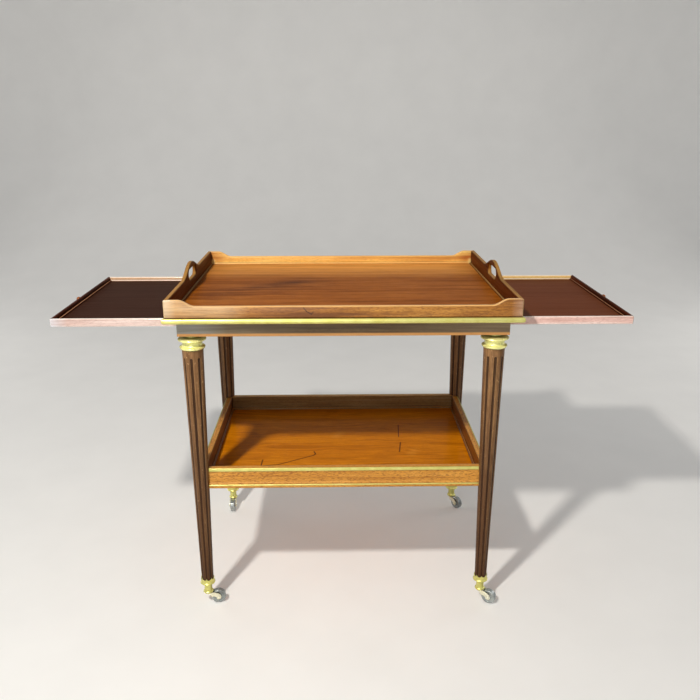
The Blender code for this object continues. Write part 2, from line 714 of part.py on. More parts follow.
def shelf_floor_mesh():
    """Shelf floor with a tongue all round, cut away round the legs."""
    half_x = LEG_X - SHELF_WALL - GAP
    half_y = LEG_Y - SHELF_WALL - GAP
    low = SHELF_HEIGHT + SHELF_FLOOR_TOP - SHELF_FLOOR_THICKNESS
    high = SHELF_HEIGHT + SHELF_FLOOR_TOP
    core = box("shelf_floor", (-half_x, -half_y, low), (half_x, half_y, high))
    tongue_low, tongue_high = shelf_tongue_heights()
    reach_x = half_x + SHELF_TONGUE
    reach_y = half_y + SHELF_TONGUE
    tongue_low += SHELF_HEIGHT
    tongue_high += SHELF_HEIGHT
    tongue = box("shelf_tongue", (-reach_x, -reach_y, tongue_low), (reach_x, reach_y, tongue_high))
    floor = combined("shelf_floor", core, [tongue], "UNION")
    legs = []
    for side_x, side_y, _ in CORNERS.values():
        cone = leg_cone("leg_cone", low - SHELF_WALL, high + SHELF_WALL, GAP)
        legs.append(moved(cone, Matrix.Translation((side_x * LEG_X, side_y * LEG_Y, 0))))
    return combined("shelf_floor", floor, legs)


def add_round_the_cart(prefix, long_mesh, short_mesh, reach_x, reach_y, z, material, parent=None):
    """Four pieces round a rectangle: the long one front and back, the short one left and right."""
    for side, turn in SIDES.items():
        is_long = side in ("front", "back")
        reach = reach_y if is_long else reach_x
        angle = math.radians(turn)
        place = (reach * math.sin(angle), -reach * math.cos(angle), z)
        add_part(f"{prefix}_{side}", long_mesh if is_long else short_mesh, material, place, turn, parent)


def add_corners(brass, leg_wood, wheel_grey):
    """Leg, capital, shoe and caster at each corner."""
    leg = leg_mesh()
    capital = capital_mesh()
    sabot = sabot_mesh()
    fork = fork_mesh()
    axle = axle_mesh()
    wheel = wheel_mesh()
    for corner, (side_x, side_y, turn) in CORNERS.items():
        x = side_x * LEG_X
        y = side_y * LEG_Y
        add_part(f"leg_{corner}", leg, leg_wood, (x, y, 0), turn)
        add_part(f"capital_{corner}", capital, brass, (x, y, CAPITAL_Z))
        add_part(f"sabot_{corner}", sabot, brass, (x, y, SABOT_Z))
        swivel = add_pivot(f"swivel_{corner}", (x, y, 0), TRAIL_ANGLES[corner])
        add_part(f"caster_fork_{corner}", fork, brass, parent=swivel)
        axle_place = (TRAIL, 0, WHEEL_RADIUS)
        add_part(f"caster_axle_{corner}", axle, brass, axle_place, parent=swivel)
        add_part(f"caster_wheel_{corner}", wheel, wheel_grey, axle_place, parent=swivel)


def add_apron(wood, brass):
    """Grooved long rails, low end rails, the middle rail, and the top board with its brass edge."""
    long_rail = long_rail_mesh()
    add_part("apron_front", long_rail, wood, (0, -APRON_Y, APRON_Z))
    add_part("apron_back", long_rail, wood, (0, APRON_Y, APRON_Z), 180)
    between = RAIL_INNER_Y - GAP
    end_rail = box("end_rail", (-END_RAIL_WIDTH, -between, 0), (0, between, LEDGE_HEIGHT))
    add_part("apron_right", end_rail, wood, (APRON_X, 0, APRON_Z))
    add_part("apron_left", end_rail, wood, (-APRON_X, 0, APRON_Z), 180)
    half = CENTRE_RAIL_WIDTH / 2
    centre = box("centre_rail", (-half, -between, LEDGE_HEIGHT), (half, between, APRON_HEIGHT))
    add_part("centre_rail", centre, wood, (0, 0, APRON_Z))
    board = box("top_board", (-BOARD_X, -BOARD_Y, 0), (BOARD_X, BOARD_Y, BOARD_THICKNESS))
    add_part("top_board", board, wood, (0, 0, BOARD_Z))
    reach_x = BOARD_X + GAP
    reach_y = BOARD_Y + GAP
    long_edge = half_round_mesh("moulding_long", reach_x, BOARD_THICKNESS, MOULDING_PROJECTION)
    short_edge = half_round_mesh("moulding_short", reach_y, BOARD_THICKNESS, MOULDING_PROJECTION)
    add_round_the_cart("top_moulding", long_edge, short_edge, reach_x, reach_y, BOARD_Z, brass)


def add_tray(wood):
    """Lift-off tray: floor set between two swept walls and two handled ends."""
    tray = add_pivot("tray", (0, 0, TRAY_Z))
    half_x = BOARD_X - TRAY_WALL - GAP
    half_y = BOARD_Y - TRAY_WALL - GAP
    floor = box("tray_floor", (-half_x, -half_y, 0), (half_x, half_y, TRAY_FLOOR_THICKNESS))
    add_part("tray_floor", floor, wood, parent=tray)
    wall = tray_wall_mesh()
    add_part("tray_wall_front", wall, wood, (0, -BOARD_Y, 0), SIDES["front"], tray)
    add_part("tray_wall_back", wall, wood, (0, BOARD_Y, 0), SIDES["back"], tray)
    end = tray_end_mesh()
    add_part("tray_end_left", end, wood, (-BOARD_X, 0, 0), SIDES["left"], tray)
    add_part("tray_end_right", end, wood, (BOARD_X, 0, 0), SIDES["right"], tray)


def add_leaves(edge_wood, panel_wood, brass):
    """Two leaves, each modelled from its inner end at X = 0 towards its outer end."""
    panel = panel_mesh()
    near_lip = lip_side_mesh()
    far_lip = mirrored(near_lip)
    end_lip = lip_end_mesh()
    pull = pull_mesh()
    stop_out = LEAF_HOLD - END_RAIL_WIDTH - GAP
    stop_top = LEAF_HEIGHT - PANEL_DROP - PANEL_THICKNESS - GAP
    stop_low = (stop_out - STOP_WIDTH, -STOP_LENGTH / 2, stop_top - STOP_HEIGHT)
    stop = box("stop", stop_low, (stop_out, STOP_LENGTH / 2, stop_top))
    for side, turn, near, far in (("right", 0, "front", "back"), ("left", 180, "back", "front")):
        sign = math.cos(math.radians(turn))
        leaf = add_pivot(f"{side}_leaf", (sign * LEAF_INNER_X, 0, LEAF_Z), turn)
        add_part(f"{side}_leaf_panel", panel, panel_wood, parent=leaf)
        add_part(f"{side}_leaf_lip_{near}", near_lip, edge_wood, (0, -LEAF_Y, 0), parent=leaf)
        add_part(f"{side}_leaf_lip_{far}", far_lip, edge_wood, (0, LEAF_Y, 0), parent=leaf)
        add_part(f"{side}_leaf_lip_end", end_lip, edge_wood, (LEAF_LENGTH, 0, 0), SIDES["right"], leaf)
        add_part(f"{side}_leaf_stop", stop, edge_wood, parent=leaf)
        add_part(f"{side}_leaf_pull", pull, brass, (LEAF_LENGTH + GAP, 0, LEAF_HEIGHT / 2), parent=leaf)


def add_shelf(wood, brass):
    """Shelf walls housed in the legs, brass strips on their top edges, and the tongued floor."""
    wall_end = SHELF_WALL + GAP
    long_wall = shelf_wall_mesh(LEG_X - wall_end)
    short_wall = shelf_wall_mesh(LEG_Y - wall_end)
    add_round_the_cart("shelf_wall", long_wall, short_wall, LEG_X, LEG_Y, SHELF_HEIGHT, wood)
    add_part("shelf_floor", shelf_floor_mesh(), wood)
    strip_end = leg_radius(SHELF_HEIGHT + SHELF_WALL_HEIGHT) + GAP
    strips = []
    for reach in (LEG_X, LEG_Y):
        half = reach - strip_end
        strips.append(box("strip", (-half, -STRIP_THICKNESS, -STRIP_HEIGHT), (half, 0, 0)))
    top = SHELF_HEIGHT + SHELF_WALL_HEIGHT
    add_round_the_cart("shelf_edge", *strips, LEG_X + GAP, LEG_Y + GAP, top, brass)


def build():
    brass = finish("brass", (0.78, 0.60, 0.22), 0.25, 1.0)
    tray_wood = finish("tray_mahogany", (0.36, 0.15, 0.05), 0.35)
    leg_wood = finish("leg_mahogany", (0.13, 0.05, 0.03), 0.40)
    shelf_wood = finish("shelf_mahogany", (0.42, 0.18, 0.05), 0.30)
    edge_wood = finish("leaf_edge_mahogany", (0.32, 0.11, 0.07), 0.30)
    panel_wood = finish("leaf_panel", (0.07, 0.025, 0.018), 0.35)
    wheel_grey = finish("wheel_grey", (0.30, 0.31, 0.31), 0.45)
    add_corners(brass, leg_wood, wheel_grey)
    add_apron(tray_wood, brass)
    add_tray(tray_wood)
    add_leaves(edge_wood, panel_wood, brass)
    add_shelf(shelf_wood, brass)


clear_scene()
PARTS = new_collection("bar_cart")
CUTTERS = new_collection("cutters")
build()
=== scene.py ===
import json
import math
from functools import partial

import bmesh
import bpy
from mathutils import Matrix, Vector


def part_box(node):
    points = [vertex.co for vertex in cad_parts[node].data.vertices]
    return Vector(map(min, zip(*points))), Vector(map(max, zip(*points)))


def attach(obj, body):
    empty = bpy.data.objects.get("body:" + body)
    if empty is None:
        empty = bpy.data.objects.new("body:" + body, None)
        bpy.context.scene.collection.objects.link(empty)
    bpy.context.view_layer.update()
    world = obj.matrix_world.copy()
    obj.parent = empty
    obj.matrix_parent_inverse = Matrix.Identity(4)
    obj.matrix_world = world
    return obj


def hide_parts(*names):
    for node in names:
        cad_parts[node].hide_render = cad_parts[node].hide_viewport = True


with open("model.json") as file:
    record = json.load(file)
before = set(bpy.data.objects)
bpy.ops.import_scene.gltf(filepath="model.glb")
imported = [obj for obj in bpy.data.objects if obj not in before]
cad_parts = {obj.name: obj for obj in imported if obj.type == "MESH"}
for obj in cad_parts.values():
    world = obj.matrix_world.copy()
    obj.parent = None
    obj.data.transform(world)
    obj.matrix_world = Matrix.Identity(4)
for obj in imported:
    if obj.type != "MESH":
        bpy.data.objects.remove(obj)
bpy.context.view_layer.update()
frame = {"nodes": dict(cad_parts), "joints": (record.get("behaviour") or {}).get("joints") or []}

scene = bpy.context.scene
mm = 0.001
print("frame loaded:", len(frame["nodes"]), "nodes")

corners = ("front_left", "front_right", "back_right", "back_left")
sides = {"front": 0, "right": 90, "back": 180, "left": 270}
bothEnds = (-1, 1)
clearance = 0.3 * mm  # between pieces that meet
mergeGap = 1e-6
sharpAngle = math.radians(38)  # steeper edges are shaded as edges


def feed(tree, socket, value):  # a link or a plain value
    if isinstance(value, bpy.types.NodeSocket):
        tree.links.new(value, socket)
    else:
        socket.default_value = value


def node(tree, kind, inputs=None, **settings):
    made = tree.nodes.new(kind)
    for name, value in settings.items():
        setattr(made, name, value)
    for key, value in (inputs or {}).items():
        feed(tree, made.inputs[key], value)
    return made


def result(tree, kind, inputs=None, **settings):  # the first output of a new node
    return node(tree, kind, inputs, **settings).outputs[0]


def calc(tree, operation, *values):
    return result(tree, "ShaderNodeMath", dict(enumerate(values)), operation=operation)


def sums(tree, *operations):
    return [partial(calc, tree, operation) for operation in operations]


def vectorCalc(tree, operation, *values):
    made = node(tree, "ShaderNodeVectorMath", dict(enumerate(values)), operation=operation)
    return made.outputs["Value"] if operation in ("LENGTH", "DOT_PRODUCT") else made.outputs["Vector"]


def spread(tree, value, low, high, newLow=0.0, newHigh=1.0):  # clamped remap
    inputs = {"Value": value, "From Min": low, "From Max": high, "To Min": newLow, "To Max": newHigh}
    return node(tree, "ShaderNodeMapRange", inputs).outputs["Result"]


def mixColour(tree, share, first, second, kind="MIX"):
    made = node(tree, "ShaderNodeMix", {0: share, 6: first, 7: second}, data_type="RGBA", blend_type=kind)
    return made.outputs[2]


def cloud(tree, vector, scale, detail, roughness=0.55):  # noise with a scale for each axis
    inputs = {"Vector": vectorCalc(tree, "MULTIPLY", vector, scale), "Scale": 1.0, "Detail": detail}
    return node(tree, "ShaderNodeTexNoise", {**inputs, "Roughness": roughness}).outputs


def patches(tree, vector, scale, detail, roughness, low, high, *ends):  # noise spread from low to high
    return spread(tree, cloud(tree, vector, scale, detail, roughness)[0], low, high, *ends)


def newGroup(name, kind, inputs, outputs):
    tree = bpy.data.node_groups.new(name, kind)
    for label, socketType, value in inputs:
        socket = tree.interface.new_socket(label, in_out="INPUT", socket_type="NodeSocket" + socketType)
        if value is not None:
            socket.default_value = value
    for label, socketType in outputs:
        tree.interface.new_socket(label, in_out="OUTPUT", socket_type="NodeSocket" + socketType)
    return tree, tree.nodes.new("NodeGroupInput").outputs, tree.nodes.new("NodeGroupOutput").inputs


def tint(red, green, blue):  # screen colour 0 to 255 to a linear colour
    shares = [value / 255 for value in (red, green, blue)]
    return tuple(s / 12.92 if s < 0.04045 else ((s + 0.055) / 1.055) ** 2.4 for s in shares) + (1.0,)


def axisOf(tree, vector, axis):
    return node(tree, "ShaderNodeSeparateXYZ", {0: vector}).outputs[axis]


def faceNormal(tree):
    return node(tree, "ShaderNodeNewGeometry").outputs["Normal"]


def objectPlace(tree):
    return node(tree, "ShaderNodeTexCoord").outputs["Object"]


def millimetres(**sizes):
    return {name: size * mm for name, size in sizes.items()}


def makeWoodGrain():
    colours = [("Pale", tint(214, 150, 80)), ("Middle", tint(176, 108, 52)), ("Dark", tint(110, 58, 26))]
    amounts = [("Ribbon", 1.0), ("Flecks", 0.4), ("Specks", 0.3), ("Sway", 0.012)]
    inputs = [("Vector", "Vector", None)]
    inputs += [(label, "Color", value) for label, value in colours]
    inputs += [(label, "Float", value) for label, value in amounts]
    outputs = [("Colour", "Color"), ("Figure", "Float"), ("Pores", "Float")]
    tree, given, wanted = newGroup("woodGrain", "ShaderNodeTree", inputs, outputs)
    plus, minus, times, most = sums(tree, "ADD", "SUBTRACT", "MULTIPLY", "MAXIMUM")
    blend = partial(mixColour, tree)
    sway = vectorCalc(tree, "SUBTRACT", cloud(tree, given["Vector"], (3, 9, 9), 2)[1], (0.5, 0.5, 0.5))
    across = result(tree, "ShaderNodeCombineXYZ", {1: given["Sway"], 2: given["Sway"]})
    along = vectorCalc(tree, "ADD", given["Vector"], vectorCalc(tree, "MULTIPLY", sway, across))

    def band(length, width, low, high, detail, roughness=0.55):  # noise drawn out along the grain
        return patches(tree, along, (length, width, width), detail, roughness, low, high)

    broad = band(2.2, 44, 0.32, 0.68, 3, 0.6)
    fine = band(6, 210, 0.3, 0.7, 3, 0.6)
    hair = band(12, 900, 0.3, 0.7, 2)
    pores = band(60, 1500, 0.56, 0.68, 1)
    dashes = band(26, 340, 0.56, 0.66, 1)
    specks = band(130, 560, 0.5, 0.62, 2, 0.6)
    swing = times(minus(broad, 0.5), given["Ribbon"])
    tone = calc(tree, "MULTIPLY_ADD", minus(fine, 0.5), 0.45, plus(swing, 0.5))
    tone = calc(tree, "MULTIPLY_ADD", minus(hair, 0.5), 0.18, tone)
    colour = blend(spread(tree, tone, 0.1, 0.5), given["Dark"], given["Middle"])
    colour = blend(spread(tree, tone, 0.5, 0.92), colour, given["Pale"])
    spots = times(most(times(pores, 0.5), dashes), given["Flecks"])
    spots = most(spots, times(specks, given["Specks"]))
    shade = blend(1.0, given["Dark"], (0.62, 0.55, 0.5, 1), "MULTIPLY")
    feed(tree, wanted["Colour"], blend(spots, colour, shade))
    feed(tree, wanted["Figure"], tone)
    feed(tree, wanted["Pores"], most(pores, times(dashes, 0.6)))
    return tree


def makeEdgeWear():  # where hands and knocks rub the edges, and a softened normal there
    inputs = [("Radius", "Float", 0.0016), ("Patchiness", "Float", 0.5)]
    outputs = [("Worn", "Float"), ("Normal", "Vector")]
    tree, given, wanted = newGroup("edgeWear", "ShaderNodeTree", inputs, outputs)
    minus, times = sums(tree, "SUBTRACT", "MULTIPLY")
    rounded = result(tree, "ShaderNodeBevel", {"Radius": given["Radius"]}, samples=6)
    turnOff = minus(1.0, vectorCalc(tree, "DOT_PRODUCT", rounded, faceNormal(tree)))
    missed = patches(tree, objectPlace(tree), (34,) * 3, 4, 0.65, 0.36, 0.62)
    kept = minus(1.0, times(missed, given["Patchiness"]))
    feed(tree, wanted["Worn"], times(spread(tree, turnOff, 0.015, 0.16), kept))
    feed(tree, wanted["Normal"], rounded)
    return tree


def makeCrevice():  # dirt and painted shade that gather in inside corners
    inputs = [("Reach", "Float", 0.006), ("Strength", "Float", 1.0)]
    tree, given, wanted = newGroup("crevice", "ShaderNodeTree", inputs, [("Mask", "Float")])
    openness = node(tree, "ShaderNodeAmbientOcclusion", {"Distance": given["Reach"]}, samples=8).outputs["AO"]
    mask = spread(tree, openness, 0.35, 0.9, 1.0, 0.0)
    feed(tree, wanted["Mask"], calc(tree, "MULTIPLY", mask, given["Strength"]))
    return tree


def makeScratch():  # a straight mark between two points
    inputs = [(label, "Vector", None) for label in ("Vector", "Start", "End")] + [("Width", "Float", 0.0008)]
    tree, given, wanted = newGroup("scratch", "ShaderNodeTree", inputs, [("Mask", "Float")])
    run = vectorCalc(tree, "SUBTRACT", given["End"], given["Start"])
    offset = vectorCalc(tree, "SUBTRACT", given["Vector"], given["Start"])
    length = vectorCalc(tree, "DOT_PRODUCT", run, run)
    share = spread(tree, calc(tree, "DIVIDE", vectorCalc(tree, "DOT_PRODUCT", offset, run), length), 0, 1)
    nearest = result(tree, "ShaderNodeVectorMath", {0: run, "Scale": share}, operation="SCALE")
    away = vectorCalc(tree, "LENGTH", vectorCalc(tree, "SUBTRACT", offset, nearest))
    feed(tree, wanted["Mask"], spread(tree, away, 0.0, given["Width"], 1.0, 0.0))
    return tree


woodGrain = makeWoodGrain()
edgeWear = makeEdgeWear()
crevice = makeCrevice()
scratch = makeScratch()


def group(tree, shared, inputs):
    return node(tree, "ShaderNodeGroup", inputs, node_tree=shared).outputs


def newMaterial(name):
    material = bpy.data.materials.new(name)
    material.use_nodes = True
    tree = material.node_tree
    return material, tree, tree.nodes["Principled BSDF"].inputs


grainTurn = {"x": (0, 0, 0), "y": (0, 0, -90), "z": (0, 90, 0)}
grainInputs = ("pale", "middle", "dark", "ribbon", "flecks", "specks", "sway")


def wood(name, base, **changes):
    look = {**base, **changes}
    material, tree, surface = newMaterial(name)
    times, blend = partial(calc, tree, "MULTIPLY"), partial(mixColour, tree)
    place = objectPlace(tree)
    turn = [math.radians(angle) for angle in grainTurn[look["grain"]]]
    mapping = {"Vector": place, "Rotation": turn, "Location": look["shift"]}
    inputs = {label.capitalize(): look[label] for label in grainInputs}
    inputs["Vector"] = result(tree, "ShaderNodeMapping", mapping)
    grain = group(tree, woodGrain, inputs)
    mottle = patches(tree, place, (26,) * 3, 4, 0.6, 0.3, 0.7, 0.0, look["mottle"])
    colour = blend(mottle, grain["Colour"], look["dark"])
    if look.get("hollow"):  # how deep the surface lies in a flute, from 0 to 1; the flutes are darkened by it as painted shade
        deep = node(tree, "ShaderNodeAttribute", attribute_name="hollow").outputs["Fac"]
        colour = blend(times(spread(tree, deep, 0.12, 0.6), look["hollow"]), colour, look["dirtColour"])
        chips = patches(tree, place, (210, 210, 120), 2, 0.55, 0.68, 0.72)
        chips = times(chips, spread(tree, deep, 0.05, 0.2, look["chips"], 0.0))
        colour = blend(chips, colour, look["wornColour"])
    if look.get("footShade"):  # darker towards the floor
        shade = times(spread(tree, axisOf(tree, place, 2), 0.5, 0.08), look["footShade"])
        colour = blend(shade, colour, look["footColour"])
    if look.get("inside"):  # painted shade: darker where the surface looks in at the middle of the cart
        facing = vectorCalc(tree, "MULTIPLY", faceNormal(tree), (1, 1, 0))
        inward = times(vectorCalc(tree, "DOT_PRODUCT", place, facing), -1.0)
        shaded = blend(1.0, colour, look["inside"], "MULTIPLY")
        colour = blend(spread(tree, inward, 0.05, 0.15), colour, shaded)
    edge = group(tree, edgeWear, {"Radius": look["edge"], "Patchiness": look["patchy"]})
    colour = blend(times(edge["Worn"], look["wear"]), colour, look["wornColour"])
    if look.get("crest"):  # painted highlight, partly rubbed wear, where the surface looks up
        upward = spread(tree, axisOf(tree, faceNormal(tree), 2), 0.25, 0.8)
        colour = blend(times(upward, look["crest"]), colour, look["wornColour"])
    # dirt and painted shade in inside corners
    dirt = group(tree, crevice, {"Reach": look["reach"], "Strength": look["dirt"]})["Mask"]
    colour = blend(dirt, colour, look["dirtColour"])
    for line in look.get("marks", []):
        points = {"Vector": place, "Start": line["start"], "End": line["end"], "Width": line["width"]}
        share = times(group(tree, scratch, points)["Mask"], line["strength"])
        if line["streaks"]:
            share = times(share, spread(tree, grain["Figure"], 0.25, 0.75, *line["streaks"]))
        colour = blend(share, colour, line["colour"])
    feed(tree, surface["Base Color"], colour)
    gloss = spread(tree, grain["Figure"], 0.2, 0.9, look["rough"] + 0.06, look["rough"] - 0.04)
    feed(tree, surface["Roughness"], calc(tree, "MULTIPLY_ADD", dirt, 0.2, gloss))
    relief = {"Height": grain["Pores"], "Strength": 0.22, "Distance": 0.0003, "Normal": edge["Normal"]}
    feed(tree, surface["Normal"], result(tree, "ShaderNodeBump", relief, invert=True))
    for label, key in (("Coat Weight", "coat"), ("Coat Roughness", "coatRough"), ("Specular IOR Level", "specular")):
        surface[label].default_value = look[key]
    return material


def tones(pale, middle, dark):
    return {"pale": tint(*pale), "middle": tint(*middle), "dark": tint(*dark)}


def mark(start, end, width, strength, colour, streaks=None):  # streaks: shares on dark and on pale grain
    return {"start": start, "end": end, "width": width * mm, "strength": strength, "colour": tint(*colour),
            "streaks": streaks}


woodBase = {
    "grain": "x", "shift": (0, 0, 0), "ribbon": 0.6, "flecks": 0.2, "specks": 0.3, "sway": 0.012, "mottle": 0.25,
    **tones((198, 140, 68), (171, 113, 45), (126, 74, 26)), "edge": 3.2 * mm, "patchy": 0.2, "wear": 0.9,
    "wornColour": tint(255, 202, 124), "reach": 5 * mm, "dirt": 0.6, "dirtColour": tint(50, 24, 8), "rough": 0.42,
    "coat": 0.1, "coatRough": 0.16, "specular": 0.3,
}
trayFace, trayTop, shelfTop = -0.2704, 0.68, 0.2977  # Y of the tray's front, Z of the two floors

crackPoints = [(-0.0779, 0.6961), (-0.0722, 0.6889), (-0.0631, 0.6836), (-0.0600, 0.6868)]
frontMarks = [
    mark((x, trayFace, z), (nextX, trayFace, nextZ), 1.6, 0.9, (44, 20, 8))
    for (x, z), (nextX, nextZ) in zip(crackPoints, crackPoints[1:])
]
# painted glare: pale greyish patches at both ends of the front wall
frontMarks += [
    mark((end * 0.342, trayFace, 0.683), (end * 0.342, trayFace, 0.709), 20, 0.75, colour, (0.35, 1.0))
    for end, colour in zip(bothEnds, ((222, 204, 180), (180, 150, 130)))
]
# painted glare: a pale patch along the left part of the front wall
frontMarks.append(mark((-0.33, trayFace, 0.695), (-0.24, trayFace, 0.695), 60, 0.6, (222, 188, 140), (0.2, 1.0)))
# painted highlight along the wall tops
trayWallWood = wood(
    "trayWallWood", woodBase, marks=frontMarks, crest=0.7, coat=0.3, ribbon=0.8, flecks=0.5, specks=0.5,
    edge=2.4 * mm, **tones((196, 138, 62), (164, 106, 38), (114, 66, 20)),
)
cornerSpots = [
    mark((end * 0.3335, 0.2562, 0.681), (end * 0.3335, 0.2585, 0.688), 7, 1.0, (226, 206, 140)) for end in bothEnds
]
# darker orange streaks at the back wall's inner top corners
cornerDarkening = [
    mark((end * 0.333, 0.2585, 0.700), (end * 0.322, 0.2585, 0.694), 24, 0.9, (176, 92, 28), (1.0, 0.4))
    for end in bothEnds
]
# painted light: a paler copy of the wall wood for the back wall, standing in for light thrown up from the tray floor;
# painted highlight along its top
trayBackLitWood = wood(
    "trayBackLitWood", woodBase, shift=(0.5, 0, 0.2), marks=cornerDarkening + cornerSpots, crest=0.6, ribbon=0.9,
    **tones((255, 220, 130), (252, 194, 96), (212, 146, 64)),
)
# painted shade on the inner faces of the ends, painted highlight along their tops
trayEndWood = wood(
    "trayEndWood", woodBase, grain="y", shift=(0.3, 0.1, 0), wornColour=tint(236, 190, 112), edge=1.0 * mm, wear=0.7,
    crest=0.22, specular=0.02, coat=0.02, inside=(0.34, 0.17, 0.07, 1), marks=cornerSpots,
    **tones((176, 122, 58), (148, 96, 40), (104, 60, 20)),
)
floorMarks = [
    # painted reflection: a paler band across the back of the tray floor
    ((-0.26, 0.22), (0.26, 0.22), 150, 0.9, (246, 168, 82), (0.7, 1.1)),
    ((-0.29, -0.09), (-0.09, 0.03), 90, 0.8, (92, 42, 2), (1.1, 0.3)),
    ((-0.20, -0.015), (-0.10, 0.034), 34, 0.8, (66, 26, 2), (1.1, 0.2)),
]
trayFloorWood = wood(
    "trayFloorWood", woodBase, shift=(0.1, 0.4, 0), ribbon=0.5, specks=0.15, mottle=0.35, sway=0.04, wear=0.0,
    rough=0.4, coat=0.03, specular=0.02, **tones((188, 112, 34), (158, 86, 14), (116, 58, 4)),
    marks=[mark((*start, trayTop), (*end, trayTop), *rest) for start, end, *rest in floorMarks],
)

apronSize = millimetres(side=329.3, front=240.8, strip=633.6, middle=652.0, glare=30.0)
sideX, frontY = apronSize["side"], apronSize["front"]


def litStripMarks(ends):  # painted light: the paler lit strip along the lower edge of an apron, below the shadow of the top, for both faces that look out
    level = apronSize["strip"]
    return [mark((*start, level), (*end, level), 4.2, 2.0, (240, 174, 100)) for start, end in ends]


glareEnd, middle = sideX - apronSize["glare"], apronSize["middle"]
# painted glare: pale grey and bluish patches at the ends of the front apron
apronGlares = [
    mark((end * sideX, -frontY, middle), (end * glareEnd, -frontY, middle), width, strength, colour, (0.6, 1.1))
    for end, width, strength, colour in (
        (-1, 230, 0.6, (172, 158, 126)), (-1, 70, 0.6, (176, 188, 190)), (1, 200, 0.55, (172, 152, 122)),
    )
]
# painted shade and reflection: a darker, greyer copy of the case wood for the aprons
apronLook = {
    **woodBase, **tones((132, 108, 70), (108, 87, 55), (80, 61, 37)), "shift": (0.2, 0, 0.3),
    "wornColour": tint(196, 150, 96), "wear": 0.4,
}
apronWood = wood("apronWood", apronLook, marks=apronGlares + litStripMarks(
    [((-sideX, y), (sideX, y)) for y in (-frontY, frontY)]))
apronEndWood = wood("apronEndWood", apronLook, grain="y", marks=litStripMarks(
    [((x, -frontY), (x, frontY)) for x in (-sideX, sideX)]))
topBoardWood = wood("topBoardWood", woodBase, shift=(0.7, 0.1, 0), wear=0.0, coat=0.05, specular=0.02)
# painted shade: the flutes are darkened by their depth
legWood = wood(
    "legWood", woodBase, grain="z", ribbon=0.5, flecks=0.4, specks=0.25, edge=1.1 * mm, patchy=0.6, wear=0.6,
    wornColour=tint(214, 176, 122), reach=4 * mm, dirt=0.5, dirtColour=tint(40, 21, 11), rough=0.36, hollow=0.8,
    chips=0.6, specular=0.1, footShade=0.75, footColour=tint(60, 31, 12),
    **tones((170, 128, 84), (134, 98, 64), (88, 56, 32)),
)

shelfScratches = [
    ((-0.1859, -0.1362), (-0.147, -0.130), 2.4), ((-0.147, -0.130), (-0.0692, -0.0838), 2.4),
    ((-0.1845, -0.1056), (-0.1859, -0.134), 2.4), ((-0.0686, -0.0639), (-0.0651, -0.0765), 2.6),
    ((-0.0651, -0.0765), (-0.0692, -0.0838), 2.6), ((0.1404, 0.0901), (0.1355, 0.0159), 1.9),
    ((0.1372, -0.0166), (0.1307, -0.0681), 2.4),
]
shelfMarks = [
    mark((*start, shelfTop), (*end, shelfTop), width, 1.1, (70, 28, 2)) for start, end, width in shelfScratches
]
shelfMarks += [
    mark((x, y, shelfTop), (x + 0.012, y + 0.02, shelfTop), 16, 0.3, (240, 168, 60), (0.4, 1.0))
    for x, y in ((-0.018, 0.022), (0.156, -0.08))
]
shelfFloorWood = wood(
    "shelfFloorWood", woodBase, ribbon=0.4, flecks=0.15, specks=0.15, sway=0.075, mottle=0.3, wear=0.0,
    shift=(0.4, 0.2, 0), specular=0.02, marks=shelfMarks, **tones((228, 144, 10), (208, 123, 0), (166, 91, 0)),
)
shelfLook = {
    **woodBase, **tones((232, 172, 80), (208, 144, 52), (162, 100, 30)), "flecks": 0.15, "specks": 0.75,
    "ribbon": 0.3, "shift": (0.15, 0.2, 0.1), "wear": 0.35,
}
# painted highlight along the wall tops
shelfWallWood = wood("shelfWallWood", shelfLook, dirt=0.15, crest=0.25, wornColour=tint(232, 164, 72))
# painted shade with a bluish painted reflection on the inner face of the back wall
shelfBackWood = wood("shelfBackWood", shelfLook, specks=0.35, inside=(0.37, 0.47, 1.15, 1))
# painted shade on the inner faces of the side walls
shelfSideWood = wood("shelfSideWood", shelfLook, grain="y", inside=(0.32, 0.22, 0.15, 1))

# painted highlight on the lip tops and edges
lipLook = {
    **woodBase, "ribbon": 0.7, "mottle": 0.15, "edge": 2.0 * mm, "patchy": 0.1, "wornColour": tint(255, 244, 230),
    "rough": 0.3, "coat": 0.8, "coatRough": 0.14, "dirt": 0.9, "reach": 3 * mm, "dirtColour": tint(130, 62, 24),
    "crest": 0.8,
}
lipGlare = mark((-0.5887, -0.2056, 0.645), (-0.5887, -0.2056, 0.657), 34, 0.9, (214, 224, 234), (0.5, 1.0))
# painted highlight: a thin light line along the bead of each end lip
beadHighlightLines = [
    mark((end * 0.5806, -0.2, 0.6517), (end * 0.5806, 0.2, 0.6517), 1.3, 1.0, (210, 150, 108), (0.9, 0.5))
    for end in bothEnds
]
# painted light and shade: the four lips get lighter or darker copies of one wood, as lit from the left front
lipWoods = {
    name: wood(name + "LipWood", lipLook, **changes, **tones(*colours)) for name, changes, *colours in (
        ("leftFront", {"marks": [lipGlare]}, (238, 222, 214), (214, 186, 176), (176, 140, 130)),
        ("rightFront", {}, (255, 234, 224), (240, 200, 188), (198, 148, 136)),
        ("leftBack", {}, (236, 204, 172), (224, 184, 144), (190, 142, 104)),
        ("rightBack", {"coat": 0.2}, (255, 232, 160), (255, 212, 132), (236, 168, 92)),
    )
}
# painted shade: the end lips get a much darker copy of the lip wood
lipEndShadeWood = wood(
    "lipEndShadeWood", lipLook, grain="y", dirtColour=tint(36, 14, 6), wear=0.0, crest=0.0, coat=0.0, specular=0.02,
    marks=beadHighlightLines, **tones((104, 44, 16), (78, 29, 8), (52, 18, 4)),
)
panelLook = {
    **woodBase, "ribbon": 0.2, "flecks": 0.05, "specks": 0.08, "wear": 0.0, "rough": 0.5, "coat": 0.03,
    "coatRough": 0.3, "dirt": 0.5, "specular": 0.02,
}
